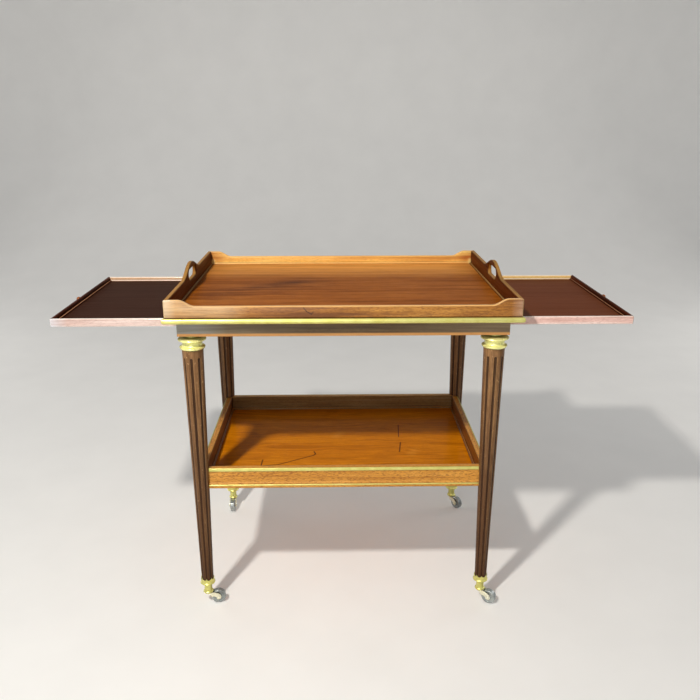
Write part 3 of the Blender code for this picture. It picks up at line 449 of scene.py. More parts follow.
# painted shade and light: the left panel gets a darker copy and the right a lighter copy of one wood
leftPanelShadeWood = wood("leftPanelShadeWood", panelLook, **tones((62, 32, 16), (55, 27, 13), (44, 21, 9)))
rightPanelLitWood = wood("rightPanelLitWood", panelLook, **tones((120, 65, 36), (110, 58, 31), (94, 48, 25)))
print("woods ready")


def metal(name, **changes):
    look = {**brassLook, **changes}
    material, tree, surface = newMaterial(name)
    times, blend = partial(calc, tree, "MULTIPLY"), partial(mixColour, tree)
    place = objectPlace(tree)
    smudge = patches(tree, place, (42,) * 3, 4, 0.6, 0.34, 0.66)
    specks = patches(tree, place, (620,) * 3, 2, 0.55, 0.6, 0.74)
    edge = group(tree, edgeWear, {"Radius": look["edge"], "Patchiness": 0.4})
    # tarnish, and painted shade in inside corners
    dirt = group(tree, crevice, {"Reach": look["reach"], "Strength": look["dirt"]})["Mask"]
    colour = blend(smudge, look["bright"], look["dull"])
    colour = blend(times(specks, look["specks"]), colour, look["tarnish"])
    colour = blend(times(edge["Worn"], 0.6), colour, look["rubbed"])
    feed(tree, surface["Base Color"], blend(dirt, colour, look["tarnish"]))
    gloss = spread(tree, smudge, 0, 1, look["rough"], look["rough"] + 0.1)
    feed(tree, surface["Roughness"], calc(tree, "MULTIPLY_ADD", dirt, 0.25, gloss))
    relief = {"Height": cloud(tree, place, (900,) * 3, 2)[0], "Strength": look["relief"],
              "Distance": 0.0001, "Normal": edge["Normal"]}
    feed(tree, surface["Normal"], result(tree, "ShaderNodeBump", relief))
    surface["Metallic"].default_value = look["metallic"]
    surface["Coat Weight"].default_value = look["coat"]
    return material


brassLook = {
    "bright": tint(224, 219, 134), "dull": tint(206, 198, 108), "rubbed": tint(252, 250, 198),
    "tarnish": tint(120, 102, 40), "edge": 0.7 * mm, "reach": 3.0 * mm, "dirt": 0.6, "specks": 0.2, "rough": 0.28,
    "relief": 0.06, "metallic": 0.75, "coat": 0.0,
}
brass = metal("polishedBrass")
# painted light and shade: a paler copy of the brass for the capitals, with deep crevice darkening as painted shade in
# the neck
capitalPaintedLightBrass = metal(
    "capitalPaintedLightBrass", bright=tint(250, 249, 172), dull=tint(243, 240, 154), tarnish=tint(150, 140, 54), dirt=0.9,
    metallic=0.4, rough=0.2, reach=8 * mm,
)
# a dark reddish-brown brass for the leaf pulls
darkPullBrass = metal(
    "darkPullBrass", bright=tint(186, 112, 54), dull=tint(138, 76, 34), rubbed=tint(220, 160, 96),
    tarnish=tint(62, 32, 16), rough=0.34, metallic=0.6,
)
casterMetal = metal(
    "wornCasterBrass", bright=tint(246, 244, 222), dull=tint(228, 222, 186), specks=0.4, metallic=0.45,
)
wheelGrey = metal(
    "greyWheel", bright=tint(178, 184, 182), dull=tint(118, 124, 124), rubbed=tint(230, 232, 226),
    tarnish=tint(48, 46, 40), metallic=0.5, rough=0.24, specks=0.5, relief=0.12, coat=0.2, reach=5 * mm, dirt=0.9,
)
print("metals ready")


def toMesh(name, form):
    bmesh.ops.remove_doubles(form, verts=form.verts, dist=1e-7)
    bmesh.ops.recalc_face_normals(form, faces=form.faces)
    mesh = bpy.data.meshes.new(name)
    form.to_mesh(mesh)
    form.free()
    return mesh


def arc(centreU, centreV, radiusU, radiusV, start, end, steps=8):
    angles = [math.radians(start + (end - start) * i / steps) for i in range(steps + 1)]
    return [(centreU + radiusU * math.cos(a), centreV + radiusV * math.sin(a)) for a in angles]


def softened(points, steps=4):  # corner points (u, v, radius) to an outline with rounded corners
    outline = []
    for i, (u, v, radius) in enumerate(points):
        corner = Vector((u, v))
        if not radius:
            outline.append((u, v))
            continue
        before = (Vector(points[i - 1][:2]) - corner).normalized() * radius
        after = (Vector(points[(i + 1) % len(points)][:2]) - corner).normalized() * radius
        for k in range(steps + 1):
            s = k / steps
            outline.append(tuple(corner + before * (1 - s) ** 2 + after * s**2))
    return outline


def turned(name, profile, steps=64, closed=False):  # profile of (radius, height) spun round Z
    form = bmesh.new()
    rings = []
    for radius, height in profile:
        count = steps if radius > mergeGap else 1
        angles = [2 * math.pi * i / count for i in range(count)]
        rings.append([form.verts.new((radius * math.cos(a), radius * math.sin(a), height)) for a in angles])
    pairs = list(zip(rings, rings[1:])) + ([(rings[-1], rings[0])] if closed else [])
    for upper, lower in pairs:
        for i in range(steps):
            j = i + 1
            ring = (upper[i % len(upper)], lower[i % len(lower)], lower[j % len(lower)], upper[j % len(upper)])
            form.faces.new(list(dict.fromkeys(ring)))
    return toMesh(name, form)


def strip(name, section, low, high, mitres=(1, 1)):  # section of (inwards, up) run along X, ends cut at 45 degrees
    form = bmesh.new()
    left = [form.verts.new((low + mitres[0] * y, y, z)) for y, z in section]
    right = [form.verts.new((high - mitres[1] * y, y, z)) for y, z in section]
    for i in range(len(section)):
        j = (i + 1) % len(section)
        form.faces.new((left[i], left[j], right[j], right[i]))
    form.faces.new(left)
    form.faces.new(right)
    return toMesh(name, form)


def taken(carrier):  # the evaluated mesh of a helper object, which is then removed
    depsgraph = bpy.context.evaluated_depsgraph_get()
    mesh = bpy.data.meshes.new_from_object(carrier.evaluated_get(depsgraph), depsgraph=depsgraph)
    carrier.modifiers.clear()
    bpy.data.objects.remove(carrier)
    return mesh


def plate(name, outlines, thickness, edgeRound):  # upright board with rounded edges, outer face at Y = 0
    curve = bpy.data.curves.new(name, "CURVE")
    curve.dimensions = "2D"
    curve.fill_mode = "BOTH"
    curve.extrude = thickness / 2 - edgeRound
    curve.bevel_depth = edgeRound
    curve.bevel_resolution = 3
    curve.offset = -edgeRound
    for outline in outlines:
        spline = curve.splines.new("POLY")
        spline.points.add(len(outline) - 1)
        for point, (u, v) in zip(spline.points, outline):
            point.co = (u, v, 0, 1)
        spline.use_cyclic_u = True
    carrier = bpy.data.objects.new(name, curve)
    scene.collection.objects.link(carrier)
    mesh = taken(carrier)
    mesh.transform(Matrix.Translation((0, thickness / 2, 0)) @ Matrix.Rotation(math.radians(90), 4, "X"))
    return mesh


def mitred(mesh, half):  # both ends cut at 45 degrees
    form = bmesh.new()
    form.from_mesh(mesh)
    bmesh.ops.remove_doubles(form, verts=form.verts, dist=mergeGap)
    for end in bothEnds:
        everything = form.verts[:] + form.edges[:] + form.faces[:]
        plane = {"plane_co": (end * half, 0, 0), "plane_no": (end, 1, 0)}
        bmesh.ops.bisect_plane(form, geom=everything, dist=mergeGap, clear_outer=True, **plane)
        bmesh.ops.holes_fill(form, edges=[edge for edge in form.edges if edge.is_boundary], sides=0)
    return toMesh(mesh.name, form)


def placed(mesh, place, turn=0):
    copy = mesh.copy()
    copy.transform(Matrix.Translation(place) @ Matrix.Rotation(math.radians(turn), 4, "Z"))
    return copy


def addPiece(name, mesh, material, body, slot, *nodes):
    piece = bpy.data.objects.new(name, mesh)
    scene.collection.objects.link(piece)
    mesh.materials.clear()
    mesh.materials.append(material)
    mesh.polygons.foreach_set("use_smooth", [True] * len(mesh.polygons))
    mesh.set_sharp_from_angle(angle=sharpAngle)
    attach(piece, body)
    if nodes:
        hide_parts(*nodes)


def grown(name, tree, values):  # runs a Geometry Nodes tree once and keeps the mesh
    carrier = bpy.data.objects.new(name, bpy.data.meshes.new(name))
    scene.collection.objects.link(carrier)
    modifier = carrier.modifiers.new("shape", "NODES")
    modifier.node_group = tree
    for item in tree.interface.items_tree:
        if item.item_type == "SOCKET" and item.in_out == "INPUT" and item.name in values:
            modifier[item.identifier] = values[item.name]
    form = bmesh.new()
    form.from_mesh(taken(carrier))
    return toMesh(name, form)


legSize = {
    "Length": 545.2 * mm, "Top Radius": 21.6 * mm, "Foot Radius": 12.8 * mm, "Flutes": 8, "Flute Top": 3.2 * mm,
    "Flute Foot": 2.4 * mm, "Flute Offset": 0.4 * mm, "Plain Band": 15.5 * mm, "Rib Round": 0.45 * mm,
    "Shoulder Flare": 0.5 * mm,
}


def makeFlutedLeg():
    rows, flutePoints, domeRows = 73, 16, 0.6  # rows down the leg, points to a flute, share of rows at the domes
    flareLength, hollowDepth = 0.009, 0.0029
    inputs = [(label, "Int" if label == "Flutes" else "Float", size) for label, size in legSize.items()]
    inputs += [("Place", "Vector", None), ("Material", "Material", None)]
    tree, given, wanted = newGroup("flutedLeg", "GeometryNodeTree", inputs, [("Geometry", "Geometry")])
    do = partial(calc, tree)
    plus, minus, times, most = sums(tree, "ADD", "SUBTRACT", "MULTIPLY", "MAXIMUM")
    timesPlus = partial(calc, tree, "MULTIPLY_ADD")
    length, flutes = given["Length"], given["Flutes"]
    columns = timesPlus(flutes, flutePoints, 1)
    gridSize = {"Size X": 1.0, "Size Y": 1.0, "Vertices X": columns, "Vertices Y": rows + 1}
    grid = result(tree, "GeometryNodeMeshGrid", gridSize)
    flat = node(tree, "ShaderNodeSeparateXYZ", {0: result(tree, "GeometryNodeInputPosition")}).outputs
    around = plus(flat[0], 0.5)
    down = plus(flat[1], 0.5)
    share = spread(tree, down, 1 / rows, 1 - 1 / rows)
    domeZone = timesPlus(given["Flute Top"], 2.0, given["Plain Band"])
    upper = spread(tree, share, 0.0, domeRows, 0.0, domeZone)
    lower = spread(tree, share, domeRows, 1.0, 0.0, minus(length, domeZone))
    depth = plus(upper, lower)
    radius = spread(tree, depth, 0.0, length, given["Top Radius"], given["Foot Radius"])
    flare = do("POWER", spread(tree, depth, 0.0, flareLength, 1.0, 0.0), 2.0)
    radius = timesPlus(flare, given["Shoulder Flare"], radius)
    flute = spread(tree, depth, 0.0, length, given["Flute Top"], given["Flute Foot"])
    domeAt = plus(given["Plain Band"], given["Flute Top"])
    above = most(minus(domeAt, depth), 0.0)
    fluteSquared = minus(times(flute, flute), times(above, above))
    fluteSquared = most(fluteSquared, 1e-10)
    presence = spread(tree, do("SQRT", fluteSquared), 0.0012, 0.0024)
    centre = plus(radius, given["Flute Offset"])
    squares = timesPlus(radius, radius, times(centre, centre))
    twice = times(times(radius, centre), 2.0)
    edgeCosine = do("DIVIDE", minus(squares, fluteSquared), twice)
    edge = most(do("ARCCOSINE", do("MINIMUM", edgeCosine, 1.0)), 0.02)
    sector = do("DIVIDE", 2 * math.pi, flutes)
    cell = times(around, flutes)
    index = do("FLOOR", plus(cell, 0.001))
    within = most(minus(cell, index), 0.0)
    inFlute = spread(tree, within, 0.0, 0.5)
    onRib = spread(tree, within, 0.5, 1.0)
    swing = times(edge, timesPlus(inFlute, 2.0, -1.0))
    ribWidth = timesPlus(edge, -2.0, sector)
    angle = timesPlus(ribWidth, onRib, swing)
    sideways = times(centre, do("SINE", angle))
    inside = minus(fluteSquared, times(sideways, sideways))
    hollow = do("SQRT", most(inside, 0.0))
    groove = minus(times(centre, do("COSINE", angle)), hollow)
    ribRound = times(given["Rib Round"], presence)
    groove = do("MINIMUM", groove, minus(radius, ribRound))
    crown = do("POWER", do("ABSOLUTE", timesPlus(onRib, 2.0, -1.0)), 3.0)
    rib = minus(radius, times(ribRound, crown))
    isRib = do("GREATER_THAN", within, 0.499)
    reach = timesPlus(minus(rib, groove), isRib, groove)
    notTop = do("GREATER_THAN", down, 0.5 / rows)
    notFoot = do("LESS_THAN", down, 1 - 0.5 / rows)
    reach = times(reach, times(notTop, notFoot))  # first and last row close the ends
    turn = timesPlus(index, sector, angle)
    x = times(reach, do("COSINE", turn))
    y = times(reach, do("SINE", turn))
    spot = result(tree, "ShaderNodeCombineXYZ", {0: x, 1: y, 2: times(depth, -1.0)})
    spot = vectorCalc(tree, "ADD", spot, given["Place"])
    depthShare = do("DIVIDE", minus(radius, reach), hollowDepth)
    stored = {"Geometry": grid, "Name": "hollow", "Value": spread(tree, depthShare, 0.0, 1.0)}
    marked = result(tree, "GeometryNodeStoreNamedAttribute", stored, data_type="FLOAT", domain="POINT")
    shaped = result(tree, "GeometryNodeSetPosition", {"Geometry": marked, "Position": spot})
    facing = result(tree, "GeometryNodeFlipFaces", {0: shaped})
    closed = result(tree, "GeometryNodeMergeByDistance", {"Geometry": facing, "Distance": mergeGap})
    real = result(tree, "GeometryNodeRealizeInstances", {0: closed})
    done = result(tree, "GeometryNodeSetMaterial", {"Geometry": real, "Material": given["Material"]})
    feed(tree, wanted[0], done)
    return tree


flutedLeg = makeFlutedLeg()
legAxis = {}
for corner in corners:
    low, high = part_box("capital_" + corner)
    legAxis[corner] = ((low.x + high.x) / 2, (low.y + high.y) / 2)
    values = {**legSize, "Place": (*legAxis[corner], low.z - clearance), "Material": legWood}
    mesh = grown("legTurned_" + corner, flutedLeg, values)
    addPiece("legTurned_" + corner, mesh, legWood, "cart", "leg_wood", "leg_" + corner)
print("legs fluted")


capitalSize = millimetres(
    bore=9.8, collar=12.8, collarFoot=25.4, shoulder=15.0, disc=28.5, discAt=19.8, discEdge=0.9, throat=22.2,
    throatAt=17.3, waist=20.1, waistFoot=6.9, ring=25.8, ringAt=4.9, ringEdge=1.2, foot=21.9, ease=0.3,
)


def capitalMesh(
    height, bore, collar, collarFoot, shoulder, disc, discAt, discEdge, throat, throatAt, waist, waistFoot, ring,
    ringAt, ringEdge, foot, ease,
):
    profile = [(bore, height), (collar - ease, height), (collar, height - ease)]
    profile += [(collar, collarFoot + 3 * ease), (collar + ease, collarFoot + ease)]
    profile += arc(shoulder, discAt, disc - shoulder, collarFoot - discAt, 90, 3, 14)
    profile += arc(disc - discEdge, discAt, discEdge, discEdge, -8, -82, 5)
    profile += [(throat + 2 * ease, throatAt + 2 * ease)]
    middle = (throatAt + waistFoot) / 2
    profile += arc(throat, middle, throat - waist, throatAt - middle, 96, 262, 14)
    slope, drop = ring - throat, waistFoot - ringAt
    profile += [(throat + slope * s, waistFoot - drop * s) for s in (0.3, 0.6, 0.85)]
    rim = ringEdge / 2
    profile += arc(ring - rim, ringAt - rim, rim, rim, 70, -40, 6)
    bowl = ringAt - ringEdge
    profile += arc(foot, bowl, ring - ease - foot, bowl - ease, -10, -88, 9)
    profile += [(foot - ease, 0), (bore, 0)]
    return turned("capital", profile, 96, closed=True)


low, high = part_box("capital_front_left")
capital = capitalMesh(high.z - low.z, **capitalSize)
for corner, (x, y) in legAxis.items():
    addPiece("capitalRing_" + corner, placed(capital, (x, y, low.z)), capitalPaintedLightBrass, "cart", "brass",
             "capital_" + corner)

shoeSize = millimetres(
    base=11.2, stem=8.5, ring=16.3, ringAt=25.4, ringHalf=1.5, ringRound=1.3, seat=29.6, seatReach=13.9, flare=7.0,
    flange=3.2, pin=2.6, pinHead=4.2, pinEnd=-3.2, pinHeadHeight=2.5,
)
crownSize = {
    "Points": 8, **millimetres(foot=14.4, tip=14.8, inside=13.3, wall=1.0, low=27.6, valley=35.2, peak=41.2),
}


def shoeMesh(
    base, stem, ring, ringAt, ringHalf, ringRound, seat, seatReach, flare, flange, pin, pinHead, pinEnd,
    pinHeadHeight,
):
    cup = ((14.45, 0.1), (14.55, 0.8), (14.8, 1.7))  # mm from the axis and below the seat
    neck = ((4.4, 0.5), (2.2, 1.7), (0.8, 3.2), (0.1, 5.0))  # mm out from the stem and below the ring
    profile = [(0, seat), (seatReach, seat)] + [(out * mm, seat - down * mm) for out, down in cup]
    profile += arc(ring - ringRound, ringAt, ringRound, ringHalf, 72, -80, 12)
    profile += [(stem + out * mm, ringAt - ringHalf - down * mm) for out, down in neck]
    profile += [(stem - 0.2 * mm, 12.5 * mm), (stem - 0.1 * mm, 9.0 * mm)]
    lip, edge = 0.6 * mm, flange / 2
    profile += arc(base - lip, flare, base - stem - lip, flare - flange, 180, 270, 8)
    profile += arc(base - 0.9 * edge, edge, 0.9 * edge, edge, 80, -80, 8)
    profile += [(pin, 0), (pin, pinEnd)]
    profile += arc(0, pinEnd, pinHead, pinHeadHeight, 0, -90, 6)[:-1]
    profile += [(0, pinEnd - pinHeadHeight)]
    return turned("shoe", profile, 64)


def crownLeaf():  # one point of the crown, an eighth of the ring, open at its two sides
    c = crownSize
    columns = 16
    half = math.pi / c["Points"]
    rise = c["peak"] - c["valley"]
    span = c["foot"] * half
    bend = (span**2 + rise**2) / (2 * rise)
    form = bmesh.new()
    rows = []
    for i in range(columns + 1):
        angle = half * (2 * i / columns - 1)
        fromValley = span - abs(angle) * c["foot"]
        top = c["valley"] + bend - math.sqrt(bend**2 - fromValley**2)
        lift = top - c["low"]
        outer = c["foot"] + (c["tip"] - c["foot"]) * (lift / (c["peak"] - c["low"])) ** 1.5
        lean = outer - c["foot"]
        section = [(c["foot"], c["low"])]
        section += [(c["foot"] + lean * s**1.5, c["low"] + lift * s) for s in (0.35, 0.7, 0.94)]
        section += [(outer - 0.2 * mm, top), (outer - c["wall"] + 0.2 * mm, top), (outer - c["wall"], top - 0.4 * mm)]
        section += [(c["inside"], c["low"])]
        rows.append([form.verts.new((r * math.cos(angle), r * math.sin(angle), z)) for r, z in section])
    for first, second in zip(rows, rows[1:]):
        for i in range(len(first)):
            j = (i + 1) % len(first)
            form.faces.new((first[i], first[j], second[j], second[i]))
    return toMesh("crownLeaf", form)


def makeLeafRing():  # a leaf repeated round a ring and joined to its neighbours
    inputs = [("Leaf", "Object", None), ("Points", "Int", 8), ("Place", "Vector", None)]
    inputs += [("Material", "Material", None)]
    tree, given, wanted = newGroup("leafRing", "GeometryNodeTree", inputs, [("Geometry", "Geometry")])
    leaf = node(tree, "GeometryNodeObjectInfo", {"Object": given["Leaf"]}).outputs["Geometry"]
    spots = result(tree, "GeometryNodePoints", {"Count": given["Points"], "Position": given["Place"]})
    step = calc(tree, "DIVIDE", 2 * math.pi, given["Points"])
    angle = calc(tree, "MULTIPLY", result(tree, "GeometryNodeInputIndex"), step)
    turn = result(tree, "ShaderNodeCombineXYZ", {2: angle})
    ring = result(tree, "GeometryNodeInstanceOnPoints", {"Points": spots, "Instance": leaf, "Rotation": turn})
    real = result(tree, "GeometryNodeRealizeInstances", {0: ring})
    joined = result(tree, "GeometryNodeMergeByDistance", {"Geometry": real, "Distance": mergeGap})
    done = result(tree, "GeometryNodeSetMaterial", {"Geometry": joined, "Material": given["Material"]})
    feed(tree, wanted[0], done)
    return tree


leafRing = makeLeafRing()
leafPattern = bpy.data.objects.new("leafPattern", crownLeaf())
scene.collection.objects.link(leafPattern)
shoe = shoeMesh(**shoeSize)
for corner, (x, y) in legAxis.items():
    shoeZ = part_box("caster_fork_" + corner)[1].z + clearance
    addPiece("shoe_" + corner, placed(shoe, (x, y, shoeZ)), brass, "cart", "brass", "sabot_" + corner)
    values = {"Leaf": leafPattern, "Points": crownSize["Points"], "Place": (x, y, shoeZ), "Material": brass}
    addPiece("shoeCrown_" + corner, grown("shoeCrown_" + corner, leafRing, values), brass, "cart", "brass")
bpy.data.objects.remove(leafPattern)
print("brass on the legs done")

wheelSize = millimetres(radius=16.0, half=6.0, hub=5.2, rim=11.8, dish=1.4, bore=2.3)
axleSize = millimetres(radius=2.0, head=3.2, headAt=9.3, headHeight=0.9)
forkEdge = 0.5 * mm


def mirrored(profile):
    return [(radius, -height) for radius, height in reversed(profile)]


def wheelMesh(radius, half, hub, rim, dish, bore):
    inset, hollow, treadIn, treadDown = 0.2 * mm, 1.2 * mm, 2.4 * mm, 2.2 * mm
    upper = [(bore, half - inset), (bore + 0.4 * mm, half), (hub - 0.5 * mm, half)]
    upper += arc(hub + hollow, half - inset, hollow, dish - inset, 180, 270, 5)
    upper += arc(rim - hollow, half - inset, hollow, dish - inset, 270, 360, 5)
    upper += [(rim + 0.3 * mm, half), (radius - treadIn, half)]
    upper += arc(radius - treadIn, half - treadDown, treadIn, treadDown, 85, 10, 7) + [(radius, half - 3.4 * mm)]
    return turned("wheel", upper + mirrored(upper), 80, closed=True)


def axleMesh(radius, head, headAt, headHeight):
    upper = [(0, headAt + headHeight)] + arc(0, headAt, head, headHeight, 75, 0, 6) + [(radius, headAt - 0.1 * mm)]
    return turned("axle", upper + mirrored(upper), 32)


def softCopy(name, width):  # a merged copy of a CAD node with its sharp edges eased
    form = bmesh.new()
    form.from_mesh(frame["nodes"][name].data)
    bmesh.ops.remove_doubles(form, verts=form.verts, dist=2 * mergeGap)
    flat, steep = math.radians(2), math.radians(50)
    bmesh.ops.dissolve_limit(form, angle_limit=flat, verts=form.verts, edges=form.edges)
    sharp = [edge for edge in form.edges if edge.is_manifold and edge.calc_face_angle() > steep]
    bmesh.ops.bevel(form, geom=sharp, offset=width, segments=2, profile=0.5, affect="EDGES", clamp_overlap=True)
    return toMesh(name, form)


wheel = wheelMesh(**wheelSize)
axle = axleMesh(**axleSize)
spins = {joint["child"]: joint for joint in frame["joints"]}
for corner in corners:
    lay = Vector((0, 0, 1)).rotation_difference(Vector(spins["wheel_" + corner]["axis"])).to_matrix().to_4x4()
    low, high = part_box("caster_wheel_" + corner)
    at = Matrix.Translation((low + high) / 2) @ lay
    for pattern, name, material, body, slot in (
        (wheel, "wheel", wheelGrey, "wheel_", "wheel"), (axle, "axle", casterMetal, "caster_", "brass"),
    ):
        mesh = pattern.copy()
        mesh.transform(at)
        addPiece(name + "Turned_" + corner, mesh, material, body + corner, slot, "caster_" + name + "_" + corner)
    fork = softCopy("caster_fork_" + corner, forkEdge)
    addPiece("forkArms_" + corner, fork, casterMetal, "caster_" + corner, "brass", "caster_fork_" + corner)
print("casters done")

mouldingSize = millimetres(round=4.7, lift=0.4)


def mouldingSection(height):
    lift, middle = mouldingSize["lift"], height / 2
    section = arc(-lift, middle, lift - mouldingSize["round"], middle - 0.3 * mm, -86, 86, 18)
    return [(0, 0.2 * mm)] + section + [(0, height - 0.2 * mm)]


def sideRun(name):  # half length, reach from the middle, foot, height and thickness of a piece on one side
    low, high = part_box(name)
    along, across = (1, 0) if name.endswith(("left", "right")) else (0, 1)
    reach = max(abs(low[across]), abs(high[across]))
    return (high[along] - low[along]) / 2, reach, low.z, high.z - low.z, high[across] - low[across]


def onSide(mesh, side, reach, height):
    angle = math.radians(sides[side])
    return placed(mesh, (reach * math.sin(angle), -reach * math.cos(angle), height), sides[side])


for side in sides:
    half, reach, foot, height = sideRun("top_moulding_" + side)[:4]
    half -= mouldingSize["round"]
    mesh = onSide(strip("edge", mouldingSection(height), -half, half), side, reach - mouldingSize["round"], foot)
    addPiece("topEdge_" + side, mesh, brass, "cart", "brass", "top_moulding_" + side)

traySize = {
    "lean": 0.22, **millimetres(
        wall=11, low=23.0, corner=35.5, cornerLength=27, sweep=32.5, round=2.2, handleRise=24, handleLength=200,
        holeLength=88, holeHeight=23, bead=3.4,
    ),
}
trayLow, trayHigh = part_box("tray_floor")
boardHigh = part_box("top_board")[1]


def thinned(mesh):  # the inner face of an upright board leans out above the bead
    start = trayHigh.z - trayLow.z + traySize["bead"]
    for vertex in mesh.vertices:
        share = (vertex.co.z - start) / (traySize["corner"] - start)
        vertex.co.y *= 1 - traySize["lean"] * min(max(share, 0), 1)
    return mesh


def fall(share):  # smooth fall from 1 to 0
    return (1 + math.cos(math.pi * share)) / 2


def trayWallMesh():
    t = traySize
    steps = 24
    over = boardHigh.x + t["wall"]
    right = [(over, 0), (over, t["corner"])]
    for i in range(steps + 1):
        x = boardHigh.x - t["cornerLength"] - t["sweep"] * i / steps
        right.append((x, t["low"] + (t["corner"] - t["low"]) * fall(i / steps)))
    outline = right + [(-x, z) for x, z in reversed(right)]
    return mitred(thinned(plate("trayWall", [outline], t["wall"], t["round"])), boardHigh.x - clearance)


def trayEndMesh():
    t = traySize
    steps = 56
    half = t["handleLength"] / 2
    over = boardHigh.y + t["wall"]
    outline = [(-over, 0), (over, 0), (over, t["corner"])]
    for i in range(steps + 1):
        x = half * (1 - 2 * i / steps)
        outline.append((x, t["corner"] + t["handleRise"] * fall(abs(x) / half)))
    outline.append((-over, t["corner"]))
    holeRound = t["holeHeight"] / 2
    holeAt = t["holeLength"] / 2 - holeRound
    hole = arc(holeAt, t["corner"], holeRound, holeRound, -90, 90, 18)
    hole += arc(-holeAt, t["corner"], holeRound, holeRound, 90, 270, 18)
    return mitred(thinned(plate("trayEnd", [outline, hole], t["wall"], t["round"])), boardHigh.y - clearance)


def beadSection(size):  # quarter round in an inside corner, its back at 0
    return [(0, 0), (size, 0)] + arc(0, 0, size, size, 6, 84, 8) + [(0, size)]


trayWall = trayWallMesh()
trayEnd = trayEndMesh()
for side in sides:
    isLong = side in ("front", "back")
    reach, half = (boardHigh.y, boardHigh.x) if isLong else (boardHigh.x, boardHigh.y)
    half -= traySize["wall"]
    grain = {"front": trayWallWood, "back": trayBackLitWood}.get(side, trayEndWood)
    mesh = onSide(trayWall if isLong else trayEnd, side, reach, trayLow.z)
    replaced = ("tray_wall_" if isLong else "tray_end_") + side
    addPiece("trayBoard_" + side, mesh, grain, "tray", "case_wood", replaced)
    bead = strip("bead", beadSection(traySize["bead"]), -half, half)
    mesh = onSide(bead, side, reach - traySize["wall"], trayHigh.z)
    addPiece("trayBead_" + side, mesh, grain, "tray", "case_wood")
print("tray done")

lipSize = millimetres(width=10, top=6.0, panelDrop=9.8, bead=2.0, inRound=2.6, outRound=1.8)
pullSize = millimetres(ball=5.0, neck=2.6, base=4.2, length=13.0)


def lipSection(height, width, top, panelDrop, bead, inRound, outRound):
    seat = height - panelDrop
    section = softened([(0, 0, 0.7 * mm), (width, 0, 0.4 * mm), (width, seat - 0.4 * mm, 0)])[:-1]
    section += arc(width - bead, seat + 0.8 * mm, bead, bead, -30, 150, 12)
    section += [(top + 0.05 * mm, seat + 1.9 * mm), (top, seat + 2.6 * mm)]
    section += arc(top - inRound, height - inRound, inRound, inRound, 0, 90, 7)
    return section + arc(outRound, height - outRound, outRound, outRound, 90, 180, 6)


def pullMesh(ball, neck, base, length):
    profile = [(0, length)] + arc(0, length - ball, ball, ball, 80, -56, 14)
    profile += [(neck, 3.0 * mm), (neck, 2.2 * mm), (base - 0.3 * mm, 1.3 * mm), (base, 1.0 * mm), (base, 0), (0, 0)]
    mesh = turned("pull", profile, 32)
    mesh.transform(Matrix.Rotation(math.radians(90), 4, "Y"))
    return mesh


low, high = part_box("right_leaf_lip_end")
lip = lipSection(high.z - low.z, **lipSize)
leafOut, leafHalf, leafZ = high.x, high.y, low.z
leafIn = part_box("right_leaf_lip_front")[0].x
sideLip = strip("sideLip", lip, leafIn, leafOut, (0, 1))
endLip = strip("endLip", lip, -leafHalf, leafHalf)
farLip = sideLip.copy()
farLip.transform(Matrix.Scale(-1, 4, (0, 1, 0)))
farLip.flip_normals()
pull = pullMesh(**pullSize)
pullLow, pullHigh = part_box("right_leaf_pull")
for leaf, turn in (("right", 0), ("left", 180)):
    body = leaf + "_leaf"
    near, far = ("front", "back") if leaf == "right" else ("back", "front")
    parts = [
        ("lip_" + near, sideLip, (0, -leafHalf, leafZ), 0, lipWoods[leaf + near.capitalize()], "leaf_edge_wood"),
        ("lip_" + far, farLip, (0, leafHalf, leafZ), 0, lipWoods[leaf + far.capitalize()], "leaf_edge_wood"),
        ("lip_end", endLip, (leafOut, 0, leafZ), 90, lipEndShadeWood, "leaf_edge_wood"),
        ("pull", pull, (pullLow.x, 0, (pullLow.z + pullHigh.z) / 2), 0, darkPullBrass, "brass"),
    ]
    for name, pattern, place, lay, material, slot in parts:
        mesh = placed(placed(pattern, place, lay), (0, 0, 0), turn)
        addPiece(leaf + "Leaf_" + name, mesh, material, body, slot, body + "_" + name)
print("leaves done")

shelfSize = millimetres(wall=12, proud=1.5, lineLow=4.9, lineHigh=8.5, base=13.0, bead=3.6)


def shelfWallSection(height):
    s = shelfSize
    section = softened([(s["wall"], height, 2.0 * mm), (0, height, 0.6 * mm), (0, s["base"], 0)])[:-1]
    section += arc(0, s["base"] - 2.2 * mm, -s["proud"] - 0.1 * mm, 2.2 * mm, 90, 0, 6)
    section += [(-s["proud"], s["lineHigh"]), (-0.2 * mm, s["lineHigh"]), (-0.2 * mm, s["lineLow"])]
    section += [(-s["proud"], s["lineLow"])]
    section += softened([(-s["proud"], s["lineLow"], 0), (-s["proud"], 0, 1.0 * mm), (s["wall"], 0, 0.6 * mm)])[1:]
    return section


def lineSection():
    s = shelfSize
    middle = (s["lineLow"] + s["lineHigh"]) / 2
    tall = (s["lineHigh"] - s["lineLow"]) / 2 - 0.1 * mm
    return [(0, middle - tall)] + arc(-0.8 * mm, middle, -1.0 * mm, tall, -86, 86, 10) + [(0, middle + tall)]


def capSection(height, thickness):
    foot, top = 0.3 * mm, 0.7 * mm  # how far the edges are rounded
    return softened([(0, 0, foot), (thickness, 0, foot), (thickness, height, top), (0, height, top)], 3)


